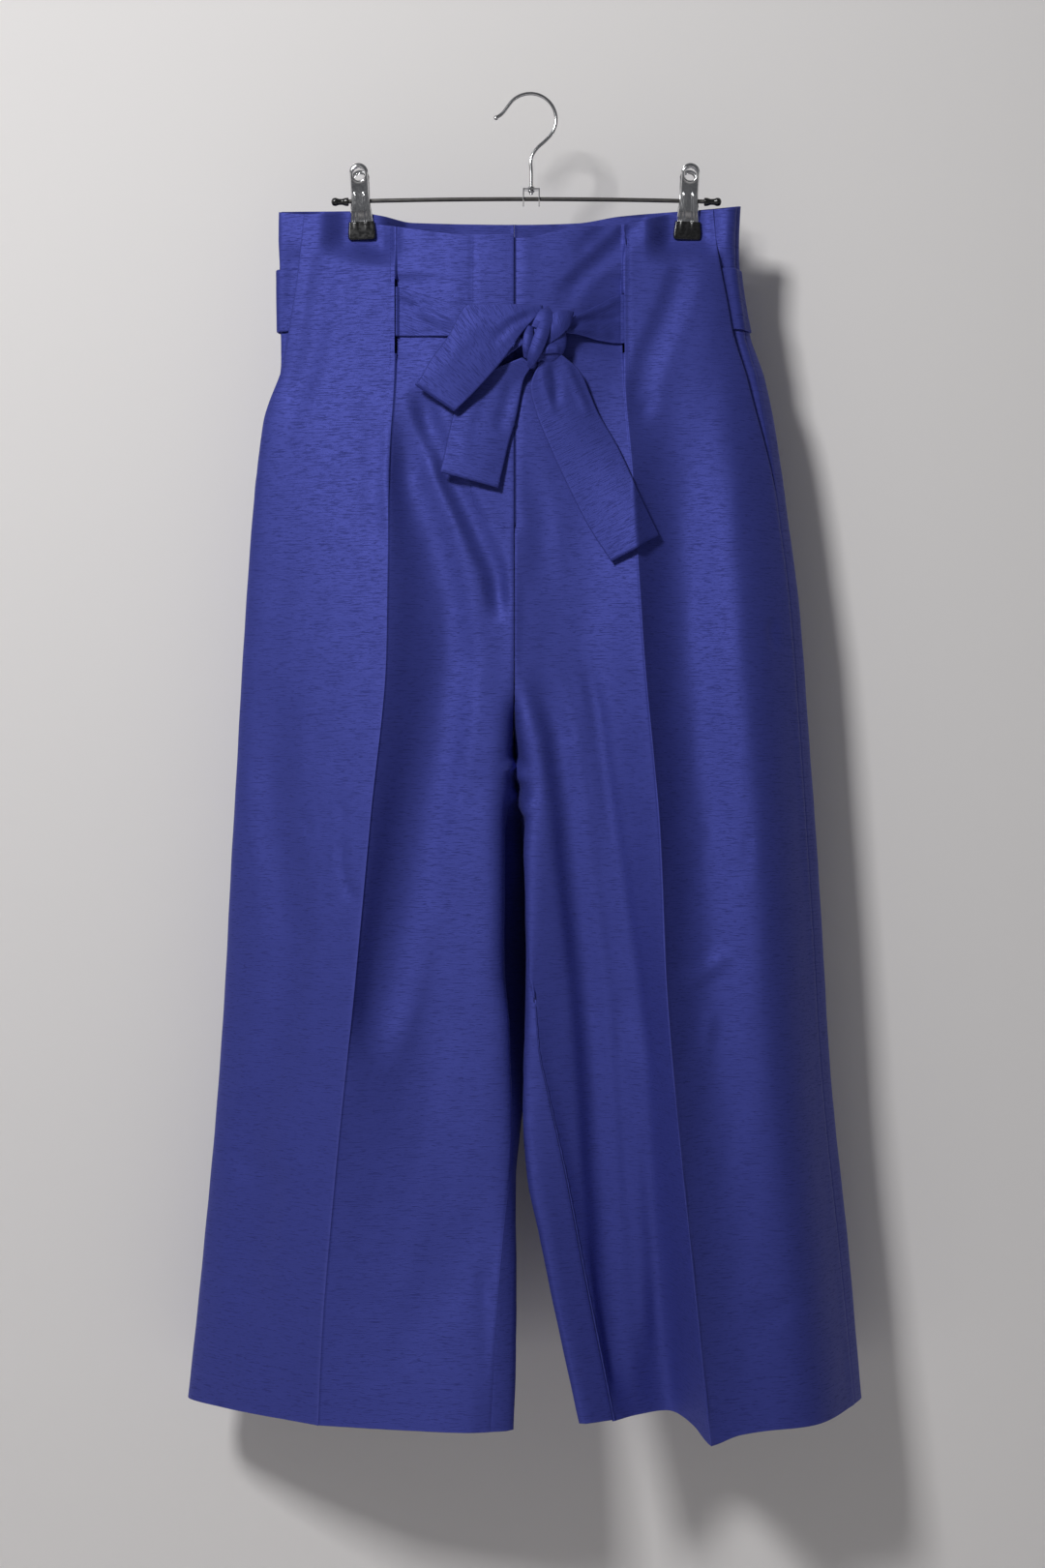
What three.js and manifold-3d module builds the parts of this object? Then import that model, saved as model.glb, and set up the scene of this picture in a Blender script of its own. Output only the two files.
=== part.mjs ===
// Paperbag trousers in crisp silk, tied with their own belt in a half bow and hung from a clip hanger.
// Millimetres, +Z up, the front faces -Y. Right and left are the wearer's, so right is -X.
// The origin is at the inner crown of the hook, where the hanger hangs.
import * as THREE from "three";
import { mergeVertices } from "three/addons/utils/BufferGeometryUtils.js";
import Module from "manifold-3d";

const wasm = await Module();
wasm.setup();

// Driving sizes
const CLOTH = 1.2; // thickness of one layer with its fusing
const SEAM_GAP = 0.3; // between two pieces that are sewn or touch
const BELT_THICK = 1.6; // the belt is a flat tube of two layers
const CENTRE_X = -11; // centre front and centre back seam
const CROTCH_Z = -505;
const FORK_Z = -464; // the centre seams start to curve under here
const HEM_Z = -1009;
const FLY_END_Z = -338;
const SLIT_TOP = -146; // the belt slits in the front tucks
const SLIT_BOTTOM = -204;
const TUCK_STEP = 5; // how far the stitched tuck stands over the centre section
const TUCK_FADE = 0.55; // share of the centre section over which the step runs out
const PRESSED_STEP = 0.4; // what is left of the step along the pressed crease
const POCKET_END_Z = -312;
const CLIP_X = { right: -128.5, left: 122.8 };
const CLIP_NIP = SEAM_GAP / 2 + CLOTH; // outer face of the cloth where a clip nips it
// A clip draws the cloth in flat over this half width and down to this depth, and the pull fades out by
// the second of each.
const NIP = { flat: 12.6, side: 34, full: 114, gone: 136 };
const BELT_LIFT = 1.5; // air under the belt where it lies on a panel

// Widths below were taken in the hanger's plane from a view point this far in front of it, at this place,
// so a point nearer to it is drawn in towards it by its depth.
const VIEW = { x: -4.5, z: -533.6, distance: 1750 };

const COLOURS = {
  silk: 0x2a3190,
  silkBack: 0x242a80,
  belt: 0x2f369a,
  steel: 0xc9ccd1,
  bar: 0x4a4a4d,
  rubber: 0x121214,
};

const group = new THREE.Group();

// A smooth line through [z, value] pairs that never overshoots them.
function line(pairs) {
  const points = [...pairs].sort((a, b) => a[0] - b[0]);
  const slope = (i) => (points[i + 1][1] - points[i][1]) / (points[i + 1][0] - points[i][0]);
  const tangent = points.map((_, i) => {
    if (i === 0) return slope(0);
    if (i === points.length - 1) return slope(i - 1);
    const before = slope(i - 1);
    const after = slope(i);
    return before * after <= 0 ? 0 : (2 * before * after) / (before + after);
  });
  return (z) => {
    if (z <= points[0][0]) return points[0][1];
    if (z >= points.at(-1)[0]) return points.at(-1)[1];
    const i = points.findIndex((p, k) => k + 1 < points.length && z <= points[k + 1][0]);
    const span = points[i + 1][0] - points[i][0];
    const t = (z - points[i][0]) / span;
    const bend = (t * t * (3 - 2 * t)) * (points[i + 1][1] - points[i][1]) + points[i][1];
    return bend + span * t * (1 - t) * ((1 - t) * tangent[i] - t * tangent[i + 1]);
  };
}

// Lines down each leg as [height, value]: x values are widths as seen, y values are depths.
const LEGS = {
  right: {
    sign: -1,
    outline: line([[-90, -193.5], [-207, -194], [-255, -205.5], [-333, -214], [-557, -228], [-721, -237],
      [-900, -252], [-1009, -264]]),
    seamIn: line([[-90, 2], [-207, 3.5]]),
    seamY: line([[-90, 4], [-207, 10], [-1009, 11]]),
    foldFrontY: line([[-90, -1], [-1009, 0]]),
    foldBackY: line([[-90, 8], [-300, 18], [-1009, 24]]),
    fullness: line([[-90, 3], [-464, 6], [-1009, 7]]),
    creaseX: line([[-90, -103.5], [-200, -103.5], [-300, -108], [-436, -110], [-557, -122], [-680, -134],
      [-830, -150], [-945, -160], [-1009, -163]]),
    creaseY: line([[-90, -9], [-146, -18], [-200, -22], [-330, -36], [-464, -50], [-600, -60], [-800, -69],
      [-1009, -77]]),
    valleyX: line([[-90, -62], [-464, -66], [-700, -80], [-1009, -105]]),
    valleyY: line([[-90, -17], [-146, -23], [-330, -32], [-464, -38], [-600, -42], [-700, -48], [-800, -60],
      [-1009, -88]]),
    cornerX: line([[-90, -26], [-440, -21], [-494, -18], [-525, -20.5], [-563, -22.5], [-672, -22.5],
      [-716, -17], [-800, -15], [-870, -25], [-950, -40], [-1009, -48]]),
    cornerY: line([[-90, -19.5], [-146, -25], [-330, -33], [-464, -37], [-600, -46], [-800, -62],
      [-1009, -96]]),
    seamX: line([[-505, -11], [-600, -9], [-700, -7], [-780, -9.5], [-815, -12.8], [-865, -18.8],
      [-922, -24], [-1009, -29.3]]),
    inseamY: line([[-505, 0], [-560, 0], [-620, -8], [-700, -25], [-760, -45], [-815, -60], [-922, -82],
      [-1009, -94]]),
    backCornerX: line([[-90, -26], [-464, -22], [-505, -13.5], [-560, -5], [-620, -1], [-700, -0.5],
      [-770, -3], [-800, -6.5], [-830, -9.3], [-954, -9.3], [-1009, -11.3]]),
    backCornerY: line([[-90, 19], [-200, 25], [-330, 37], [-440, 38], [-505, 20], [-620, 20], [-700, 8],
      [-785, -30], [-830, -48], [-874, -62], [-1009, -87]]),
    backMidY: line([[-90, 19], [-200, 27], [-330, 42], [-464, 50], [-600, 46], [-800, 32], [-1009, 12]]),
    backCreaseX: line([[-90, -100], [-464, -108], [-700, -120], [-1009, -134]]),
    backCreaseY: line([[-90, 15], [-200, 25], [-330, 42], [-464, 54], [-1009, 60]]),
  },
  left: {
    sign: 1,
    outline: line([[-90, 165], [-124, 163], [-181, 170.6], [-225, 184.5], [-269, 192.8], [-336, 202],
      [-391, 209], [-502, 217.5], [-637, 226.5], [-740, 232.5], [-897, 247.5], [-1009, 257.5]]),
    seamIn: line([[-90, 2], [-140, 2], [-250, 6], [-800, 6], [-1009, 4]]),
    seamY: line([[-90, -2], [-140, -2], [-250, -10], [-1009, -18]]),
    foldFrontY: line([[-90, -6], [-250, -14], [-1009, -26]]),
    foldBackY: line([[-90, 4], [-1009, 6]]),
    fullness: line([[-90, 3], [-300, 8], [-464, 13], [-1009, 26]]),
    creaseX: line([[-90, 74.3], [-213, 74.7], [-297, 81], [-439, 90], [-575, 102], [-680, 106.5],
      [-783, 115.5], [-870, 125], [-973, 136.5], [-1009, 141.5]]),
    creaseY: line([[-90, -13], [-146, -20], [-200, -24], [-330, -40], [-464, -56], [-600, -68], [-800, -84],
      [-1009, -100]]),
    valleyX: line([[-90, 40], [-464, 50], [-600, 62], [-700, 78], [-800, 88], [-900, 99], [-1009, 110]]),
    valleyY: line([[-90, -18], [-146, -24], [-330, -32], [-464, -37], [-600, -40], [-800, -42],
      [-1009, -36]]),
    cornerX: line([[-90, 3], [-440, -3], [-487, -4.2], [-519, 2.5], [-537, 5], [-554, 2.3], [-590, -0.8],
      [-672, -0.5], [-720, 12], [-780, 27], [-850, 45], [-930, 66], [-1009, 85]]),
    cornerY: line([[-90, -19.5], [-146, -25], [-330, -33], [-464, -37], [-600, -45], [-780, -50],
      [-1009, -46]]),
    seamX: line([[-505, -11], [-560, -3], [-620, 1], [-682, 3.8], [-732, 7.5], [-767, 15], [-826, 28.5],
      [-894, 42], [-1009, 66]]),
    inseamY: line([[-505, 0], [-560, -3], [-620, -22], [-682, -46], [-732, -52], [-900, -58], [-1009, -62]]),
    backCornerX: line([[-90, 3], [-464, 0], [-505, -8.5], [-560, -2.8], [-620, -1.5], [-672, -2.3],
      [-780, -4.5], [-832, 0], [-871, 9], [-922, 19.5], [-974, 31.5], [-1009, 40]]),
    backCornerY: line([[-90, 19], [-200, 25], [-330, 37], [-440, 38], [-505, 20], [-560, 18], [-620, -8],
      [-672, -38], [-780, -52], [-871, -63], [-1009, -72]]),
    backMidY: line([[-90, 19], [-200, 27], [-330, 42], [-464, 50], [-600, 46], [-800, 30], [-1009, 2]]),
    backCreaseX: line([[-90, 78], [-464, 92], [-700, 108], [-1009, 128]]),
    backCreaseY: line([[-90, 15], [-200, 25], [-330, 42], [-464, 54], [-1009, 60]]),
  },
};
const SHARED = {
  centreFrontY: line([[-90, -20], [-146, -25.5], [-330, -33.5], [-440, -37], [-464, -36], [-478, -29],
    [-492, -16], [-505, 0]]),
  centreBackY: line([[-90, 19], [-146, 22.5], [-330, 37], [-400, 39], [-440, 35], [-464, 28], [-492, 11],
    [-505, 0]]),
  tuckStep: line([[-90, 3], [-130, TUCK_STEP], [-215, TUCK_STEP], [-300, PRESSED_STEP]]),
};

// Front edge of the pocket's side piece as a distance round from the side seam.
LEGS.right.pocketEdge = line([[-90, 27], [-136, 25.5], [-187, 20.5], [-213, 16], [-240, 10.5], [-280, 5],
  [POCKET_END_Z, 0.15]]);
LEGS.left.pocketEdge = line([[-90, 23], [-131, 18.5], [-183, 15.5], [-228, 12], [-271, 6.5],
  [POCKET_END_Z, 0.15]]);

// Top edges and hems as [x, height], both as seen.
const TOP = {
  front: {
    right: line([[-194, -90.5], [-172.5, -92], [-139.5, -90.5], [-116, -100], [-103.5, -101.5],
      [-44, -107.5], [-11, -107.5]]),
    left: line([[-11, -110], [-1.5, -110], [22.5, -104.6], [43, -101.6], [72, -100], [103.5, -93.4],
      [133, -89.6], [165, -86]]),
  },
  back: line([[-194, -90.5], [-139, -90], [-115, -93.4], [-90, -99], [-12, -100.5], [37, -99.4], [72, -94],
    [133, -89], [165, -86]]),
};
const HEM = {
  right: () => HEM_Z,
  left: line([[40, -1011], [66, -1010], [108, -1009], [128, -1012], [141, -1017.5], [165, -1012],
    [200, -1009.5], [257, HEM_Z]]),
};

const towardsView = (y) => 1 + y / VIEW.distance;
const realX = (seen, y) => VIEW.x + (seen - VIEW.x) * towardsView(y);
const realZ = (seen, y) => VIEW.z + (seen - VIEW.z) * towardsView(y);
const station = (seen, y, z) => new THREE.Vector3(realX(seen, y), y, z);
const smooth = (t) => THREE.MathUtils.smoothstep(t, 0, 1);
const mix = THREE.MathUtils.lerp;

// One level of a leg: four curves that meet at the side seam, the creases and the centre or inner seam.
const levels = new Map();
function level(side, z) {
  const key = side + z.toFixed(2);
  if (levels.has(key)) return levels.get(key);
  const leg = LEGS[side];
  const above = z > CROTCH_Z;
  const edge = leg.outline(z);
  const seam = station(edge - leg.sign * leg.seamIn(z), leg.seamY(z), z);
  const crease = station(leg.creaseX(z), leg.creaseY(z), z);
  const backCrease = station(leg.backCreaseX(z), leg.backCreaseY(z), z);
  const centre = (y) => new THREE.Vector3(CENTRE_X, y, z);
  const inseam = station(leg.seamX(z), leg.inseamY(z), z);
  const frontEnd = above ? centre(SHARED.centreFrontY(z)) : inseam;
  const backEnd = above ? centre(SHARED.centreBackY(z)) : inseam;
  const round = leg.sign > 0 ? edge - 3.5 - leg.seamIn(z) : edge;
  const foldFront = station(round, leg.foldFrontY(z), z);
  const foldBack = station(leg.sign > 0 ? edge : edge + 10, leg.foldBackY(z), z);
  const hip = station(mix(edge, leg.creaseX(z), 0.3), mix(foldFront.y, crease.y, 0.3) - leg.fullness(z), z);
  const seat = station(mix(edge, leg.backCreaseX(z), 0.32), mix(foldBack.y, backCrease.y, 0.4) + 4, z);
  const curve = (...points) => new THREE.CatmullRomCurve3(points, false, "centripetal");
  const made = {
    outerFront: curve(seam, foldFront, hip, crease),
    innerFront: curve(crease, station(leg.valleyX(z), leg.valleyY(z), z),
      station(leg.cornerX(z), leg.cornerY(z), z), frontEnd),
    outerBack: curve(seam, foldBack, seat, backCrease),
    innerBack: curve(backCrease,
      station(mix(leg.backCreaseX(z), leg.backCornerX(z), 0.55), leg.backMidY(z), z),
      station(leg.backCornerX(z), leg.backCornerY(z), z), backEnd),
  };
  levels.set(key, made);
  return made;
}

// A point of a curve by its distance from the start, with the level way to the inside of the leg.
function along(curve, distance, insideSign) {
  const length = curve.getLength();
  const u = THREE.MathUtils.clamp(distance / length, 0, 1);
  const point = curve.getPointAt(u);
  const tangent = curve.getTangentAt(u);
  const inward = new THREE.Vector3(-tangent.y, tangent.x, 0).multiplyScalar(insideSign).normalize();
  return { point, inward };
}

// A clip draws front and back together round its jaws.
function nip(point, front) {
  const target = front ? -CLIP_NIP : CLIP_NIP;
  for (const x of Object.values(CLIP_X)) {
    const across = 1 - THREE.MathUtils.smoothstep(Math.abs(point.x - x), NIP.flat, NIP.side);
    const down = 1 - THREE.MathUtils.smoothstep(-point.z, NIP.full, NIP.gone);
    point.y = mix(point.y, target, across * down);
  }
  return point;
}

// Beside its crease the left leg's cloth falls back in one long soft trough.
const FALL = {
  from: 24,
  reach: 24,
  depth: line([[-300, 0], [-391, 7], [-516, 10], [-700, 10], [-850, 8], [-1009, 4]]),
};
function fallAt(side, z, fromCrease) {
  if (side === "right") return 0;
  return FALL.depth(z) * smooth(1 - Math.abs(fromCrease - FALL.from) / FALL.reach);
}

// The front's surface at a distance from the side seam, sunk under the tuck past the crease.
function frontOuter(side, z, distance, sink = 0) {
  const curve = level(side, z).outerFront;
  const { point, inward } = along(curve, distance, -LEGS[side].sign);
  const fall = fallAt(side, z, curve.getLength() - distance);
  return nip(point, true).addScaledVector(inward, sink + fall);
}
function frontInner(side, z, share, sink = 0) {
  const curve = level(side, z).innerFront;
  const length = curve.getLength();
  const { point, inward } = along(curve, mix(1.5, length - SEAM_GAP / 2, share), -LEGS[side].sign);
  const step = SHARED.tuckStep(z) * (1 - smooth(share / TUCK_FADE));
  return nip(point, true).addScaledVector(inward, step + sink);
}
function backOuter(side, z, distance, sink = 0) {
  const { point, inward } = along(level(side, z).outerBack, distance, LEGS[side].sign);
  return nip(point, false).addScaledVector(inward, sink);
}
function backInner(side, z, share, sink = 0) {
  const curve = level(side, z).innerBack;
  const { point, inward } = along(curve, mix(0, curve.getLength() - SEAM_GAP / 2, share), LEGS[side].sign);
  return nip(point, false).addScaledVector(inward, sink);
}
const lengthOf = (side, z, name) => level(side, z)[name].getLength();

// A closed wall through a grid of outer points, rows down and columns across. Its inner face lies
// `thick` behind them. At a seam `seams` gives a point on each side of it, so that both walls are mitred
// there alike, `inset` gives the way to an inner point where the wall steps, and `open` leaves quads out.
function wall(grid, thick, outwardSign, { seams = [], inset = () => null, open = () => false } = {}) {
  const rows = grid.length;
  const columns = grid[0].length;
  const at = (j, i) => {
    const row = THREE.MathUtils.clamp(j, 0, rows - 1);
    return grid[row][THREE.MathUtils.clamp(i, 0, columns - 1)];
  };
  const turnedBy = (j, i) => seams.find((seam) => seam.column === i)?.sides[j];
  const positions = [];
  const inner = [];
  for (let j = 0; j < rows; j++) {
    for (let i = 0; i < columns; i++) {
      const sides = turnedBy(j, i);
      const across = sides ? sides[1].clone().sub(sides[0]) : at(j, i + 1).clone().sub(at(j, i - 1));
      const down = at(j + 1, i).clone().sub(at(j - 1, i));
      const out = across.cross(down).normalize().multiplyScalar(outwardSign);
      const point = grid[j][i];
      const way = inset(j, i) ?? out.multiplyScalar(-thick);
      positions.push(point.x, point.y, point.z);
      inner.push(point.x + way.x, point.y + way.y, point.z + way.z);
    }
  }
  positions.push(...inner);
  const half = rows * columns;
  const kept = (j, i) => j >= 0 && i >= 0 && j < rows - 1 && i < columns - 1 && !open(j, i);
  const faces = [];
  const quad = (a, b, c, d) => faces.push(a, b, c, a, c, d);
  for (let j = 0; j < rows - 1; j++) {
    for (let i = 0; i < columns - 1; i++) {
      if (!kept(j, i)) continue;
      const a = j * columns + i;
      const corners = [a, a + 1, a + columns + 1, a + columns];
      quad(...corners);
      const [p, q, r, s] = corners.map((k) => k + half);
      faces.push(p, r, q, p, s, r);
      const beside = [kept(j - 1, i), kept(j, i + 1), kept(j + 1, i), kept(j, i - 1)];
      beside.forEach((there, k) => {
        if (there) return;
        const from = corners[k];
        const to = corners[(k + 1) % 4];
        quad(to, from, from + half, to + half);
      });
    }
  }
  if (outwardSign < 0) faces.reverse();
  const geometry = new THREE.BufferGeometry();
  geometry.setAttribute("position", new THREE.Float32BufferAttribute(positions, 3));
  geometry.setIndex(faces);
  return geometry;
}

function finish(name, geometry, colour, roughness, metalness = 0) {
  const flat = geometry.index ? geometry.toNonIndexed() : geometry;
  flat.computeVertexNormals();
  const mesh = new THREE.Mesh(flat, new THREE.MeshStandardMaterial({ color: colour, roughness, metalness }));
  mesh.name = name;
  group.add(mesh);
  return mesh;
}

// Heights of the rows down a panel, between its top edge and its hem.
const ROWS = [-NIP.full, -125, -NIP.gone, SLIT_TOP, -165, -184, SLIT_BOTTOM, -222, -245, -275, POCKET_END_Z,
  FLY_END_Z, -375, -410, -440, FORK_Z, -480, -493, CROTCH_Z, -525, -550, -585, -625, -670, -720, -770,
  -815, -860, -905, -955];
const TOP_ROW_Z = -98;

// Columns across the outer part of each panel, as shares from its edge to the crease. They lie close
// together round the side, and the two that `jaw` names follow the edges of the clip's jaw past it.
const FRONT_COLUMNS = {
  right: { shares: [0, 0.06, 0.13, 0.25, 0.36, 0.55, 0.75, 1], jaw: [4, 6] },
  left: { shares: [0, 0.05, 0.1, 0.28, 0.5, 0.66, 0.83, 1], jaw: [2, 4] },
};
const BACK_COLUMNS = {
  right: { shares: [0, 0.05, 0.12, 0.26, 0.4, 0.54, 0.81, 1], jaw: [5, 6] },
  left: { shares: [0, 0.05, 0.12, 0.22, 0.33, 0.62, 0.8, 1], jaw: [4, 5] },
};
const INNER_COLUMNS = 10;
const BACK_INNER_COLUMNS = 8;
const FLY_UNDERLAP = 14; // the left front runs on this far under the right front's fly edge
const heights = [TOP_ROW_Z, ...ROWS, HEM_Z];
const FREE_COLUMNS_Z = [150, 260]; // the jaw's columns run back to their own shares between these depths
function outerShares(side, z, { shares, jaw }, pointAt) {
  const free = THREE.MathUtils.smoothstep(-z, ...FREE_COLUMNS_Z);
  const made = [...shares];
  for (const column of jaw) {
    const target = Math.abs(CLIP_X[side]) + (column === jaw[0] ? NIP.flat : -NIP.flat);
    let low = 0;
    let high = 1;
    for (let k = 0; k < 16; k++) {
      const middle = (low + high) / 2;
      if (Math.abs(pointAt(middle).x) > target) low = middle;
      else high = middle;
    }
    made[column] = mix(low, shares[column], free);
  }
  return made;
}
const seenX = (point) => VIEW.x + (point.x - VIEW.x) / towardsView(point.y);

// Two points, one each side of a seam, by which the walls that meet there are mitred.
const OTHER = { right: "left", left: "right" };
const MITRE = 3;
const nearFrontEnd = (side, z) => frontInner(side, z, 1 - MITRE / lengthOf(side, z, "innerFront"));
const nearBackEnd = (side, z) => backInner(side, z, 1 - MITRE / lengthOf(side, z, "innerBack"));
const frontSideSeam = (side, z) => [backOuter(side, z, MITRE), frontOuter(side, z, MITRE)];
const backSideSeam = (side, z) => [frontOuter(side, z, MITRE), backOuter(side, z, MITRE)];
const nearCrease = (side, z) => [
  frontOuter(side, z, lengthOf(side, z, "outerFront") - MITRE),
  frontInner(side, z, MITRE / lengthOf(side, z, "innerFront")),
];
const frontEndSeam = (side, z) =>
  [nearFrontEnd(side, z), z > CROTCH_Z ? nearFrontEnd(OTHER[side], z) : nearBackEnd(side, z)];
const backEndSeam = (side, z) =>
  [nearBackEnd(side, z), z > CROTCH_Z ? nearBackEnd(OTHER[side], z) : nearFrontEnd(side, z)];

const TOP_STRIP = 4; // least height of the first row of faces under the top edge
function setEnds(row, j, top, hem) {
  for (const point of row) {
    const edge = realZ(top(seenX(point)), point.y);
    if (j === 0) point.z = edge;
    if (j === 1) point.z = Math.min(point.z, edge - TOP_STRIP);
    if (j === heights.length - 1) point.z = hem(seenX(point));
  }
}

function frontPanel(side) {
  const flyRows = side === "left" ? heights.filter((z) => z >= FLY_END_Z).length : 0;
  const outer = FRONT_COLUMNS[side];
  const foldColumn = outer.shares.length - 1;
  const seamColumn = foldColumn + INNER_COLUMNS;
  const sideSeam = { column: 0, sides: [] };
  const endSeam = { column: seamColumn, sides: [] };
  const creaseSides = [];
  const grid = heights.map((z, j) => {
    const row = [];
    const length = lengthOf(side, z, "outerFront");
    const start = z > POCKET_END_Z ? LEGS[side].pocketEdge(z) : SEAM_GAP / 2;
    const pointAt = (share) => frontOuter(side, z, mix(start, length, share));
    row.push(...outerShares(side, z, outer, pointAt).map(pointAt));
    for (let i = 0; i < INNER_COLUMNS; i++) row.push(frontInner(side, z, i / (INNER_COLUMNS - 1)));
    if (flyRows) {
      const taper = j < flyRows - 2 ? 1 : 0.4;
      const turned = row.at(-1).clone().add(new THREE.Vector3(0, CLOTH + 2 * SEAM_GAP, 0));
      row.push(turned, turned.clone().add(new THREE.Vector3(-FLY_UNDERLAP * taper, SEAM_GAP, 0)));
    }
    if (z <= POCKET_END_Z) {
      sideSeam.sides[j] = frontSideSeam(side, z);
      creaseSides[j] = nearCrease(side, z);
    }
    if (j >= flyRows) endSeam.sides[j] = frontEndSeam(side, z);
    setEnds(row, j, TOP.front[side], HEM[side]);
    return row;
  });
  const slitFrom = heights.indexOf(SLIT_TOP);
  const slitTo = heights.indexOf(SLIT_BOTTOM);
  const inSlit = (j, i) => i === foldColumn && j >= slitFrom && j < slitTo;
  const pastFly = (j, i) => i >= seamColumn && j >= flyRows - 1;
  const open = (j, i) => inSlit(j, i) || pastFly(j, i);
  const inFly = (j, i) => j < flyRows && (i === seamColumn || i === seamColumn + 1);
  const inset = (j, i) => (inFly(j, i) ? new THREE.Vector3(CLOTH, CLOTH, 0) : null);
  const creases = [foldColumn, foldColumn + 1].map((column) => ({ column, sides: creaseSides }));
  return wall(grid, CLOTH, LEGS[side].sign, { seams: [sideSeam, endSeam, ...creases], inset, open });
}

function backPanel(side) {
  const outer = BACK_COLUMNS[side];
  const sideSeam = { column: 0, sides: [] };
  const endSeam = { column: outer.shares.length + BACK_INNER_COLUMNS - 1, sides: [] };
  const grid = heights.map((z, j) => {
    const row = [];
    const length = lengthOf(side, z, "outerBack");
    const pointAt = (share) => backOuter(side, z, mix(SEAM_GAP / 2, length, share));
    row.push(...outerShares(side, z, outer, pointAt).map(pointAt));
    for (let i = 1; i <= BACK_INNER_COLUMNS; i++) row.push(backInner(side, z, i / BACK_INNER_COLUMNS));
    sideSeam.sides[j] = backSideSeam(side, z);
    endSeam.sides[j] = backEndSeam(side, z);
    setEnds(row, j, TOP.back, () => HEM_Z);
    return row;
  });
  return wall(grid, CLOTH, -LEGS[side].sign, { seams: [sideSeam, endSeam] });
}

// The side piece lies behind the front panel's edge: lapped at the top, further back at the belt's slit,
// and as the pocket's bearer under the slanted opening.
const SIDE_HEIGHTS = [-98, -116, -134, -158, -182, -202, -222, -245, -270, -295];
const SIDE_COLUMNS = 6;
const sideUnderlap = line([[-98, 2.5], [-130, 4], [-160, 8], [-220, 12], [-306, 9]]);
const recess = line([[-90, 1.8], [-118, 2.2], [-134, TUCK_STEP], [-192, TUCK_STEP], [-220, 3.6],
  [-306, 3.6]]);
const recessAt = (side, z, distance) => recess(z) * smooth(distance / (0.8 * LEGS[side].pocketEdge(z)));
function sidePiece(side) {
  const sideSeam = { column: 0, sides: [] };
  const grid = SIDE_HEIGHTS.map((z, j) => {
    const reach = LEGS[side].pocketEdge(z) + sideUnderlap(z);
    const row = [];
    for (let i = 0; i < SIDE_COLUMNS; i++) {
      const distance = mix(SEAM_GAP / 2, reach, i / (SIDE_COLUMNS - 1));
      const point = frontOuter(side, z, distance, recessAt(side, z, distance));
      if (j === 0) point.z = realZ(TOP.front[side](seenX(point)), point.y);
      row.push(point);
    }
    sideSeam.sides[j] = frontSideSeam(side, z);
    return row;
  });
  return wall(grid, CLOTH, LEGS[side].sign, { seams: [sideSeam] });
}

for (const [side, tag] of [["right", "r"], ["left", "l"]]) {
  finish("front_panel_" + tag, frontPanel(side), COLOURS.silk, 0.5);
  finish("back_panel_" + tag, backPanel(side), COLOURS.silkBack, 0.5);
  finish("pocket_side_" + tag, sidePiece(side), COLOURS.silk, 0.5);
}

// Belt, round the back: it runs behind each front's side section, comes out through the side slit and
// lies over the side pieces and the back.
const BELT_SIDE = { top: -135.5, bottom: -183.5 };
const BELT_AT_SLIT = { right: { top: -152.5, bottom: -190.5 }, left: { top: -158, bottom: -196 } };
const HIDDEN_DEPTH = 2.6; // outer face of the belt behind the front's own outer face
const BELT_OVER = -(BELT_LIFT + BELT_THICK);
const BELT_ROWS = 4;
function beltRound() {
  const stops = [];
  const addSide = (side) => {
    const made = [];
    for (const share of [0.03, 0.22, 0.42, 0.62, 0.82]) made.push({ side, share, hidden: true });
    for (const share of [1.0, 0.8, 0.6, 0.4, 0.2, 0.03]) made.push({ side, share, hidden: false });
    for (const distance of [3, 7, 13, 22, 34, 48, 64, 80]) made.push({ side, back: distance });
    for (const share of [0.15, 0.4, 0.7, 0.97]) made.push({ side, backShare: share });
    return made;
  };
  stops.push(...addSide("right"), ...addSide("left").reverse());
  const grid = [];
  for (let j = 0; j < BELT_ROWS; j++) {
    const down = j / (BELT_ROWS - 1);
    grid.push(stops.map((stop) => {
      const at = BELT_AT_SLIT[stop.side];
      const slant = stop.hidden ? 1 - stop.share : 0;
      const z = mix(mix(BELT_SIDE.top, at.top, slant), mix(BELT_SIDE.bottom, at.bottom, slant), down);
      if (stop.back) return backOuter(stop.side, z, stop.back, BELT_OVER);
      if (stop.backShare) return backInner(stop.side, z, stop.backShare, BELT_OVER);
      const edge = LEGS[stop.side].pocketEdge(z);
      const length = lengthOf(stop.side, z, "outerFront") - 6;
      if (stop.hidden) return frontOuter(stop.side, z, mix(length, edge, stop.share), HIDDEN_DEPTH);
      const out = smooth((stop.share - 0.2) / 0.7);
      return frontOuter(stop.side, z, edge * stop.share, mix(BELT_OVER, HIDDEN_DEPTH, out));
    }));
  }
  return wall(grid, BELT_THICK, 1);
}
finish("belt_round", beltRound(), COLOURS.belt, 0.5);

// Depth of the whole front at a real place, read from one level of both legs.
const fronts = new Map();
function frontDepth(x, z) {
  const key = z.toFixed(0);
  if (!fronts.has(key)) {
    const height = Number(key);
    const found = [];
    for (const side of ["right", "left"]) {
      const length = lengthOf(side, height, "outerFront");
      for (let i = 4; i <= 20; i++) found.push(frontOuter(side, height, (length * i) / 20));
      for (let i = 0; i <= 24; i++) found.push(frontInner(side, height, i / 24));
    }
    fronts.set(key, found.sort((a, b) => a.x - b.x));
  }
  const points = fronts.get(key);
  const next = Math.max(1, points.findIndex((p) => p.x >= x));
  const a = points[next - 1];
  const b = points[next];
  return mix(a.y, b.y, THREE.MathUtils.clamp((x - a.x) / Math.max(b.x - a.x, 0.01), 0, 1));
}

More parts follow.
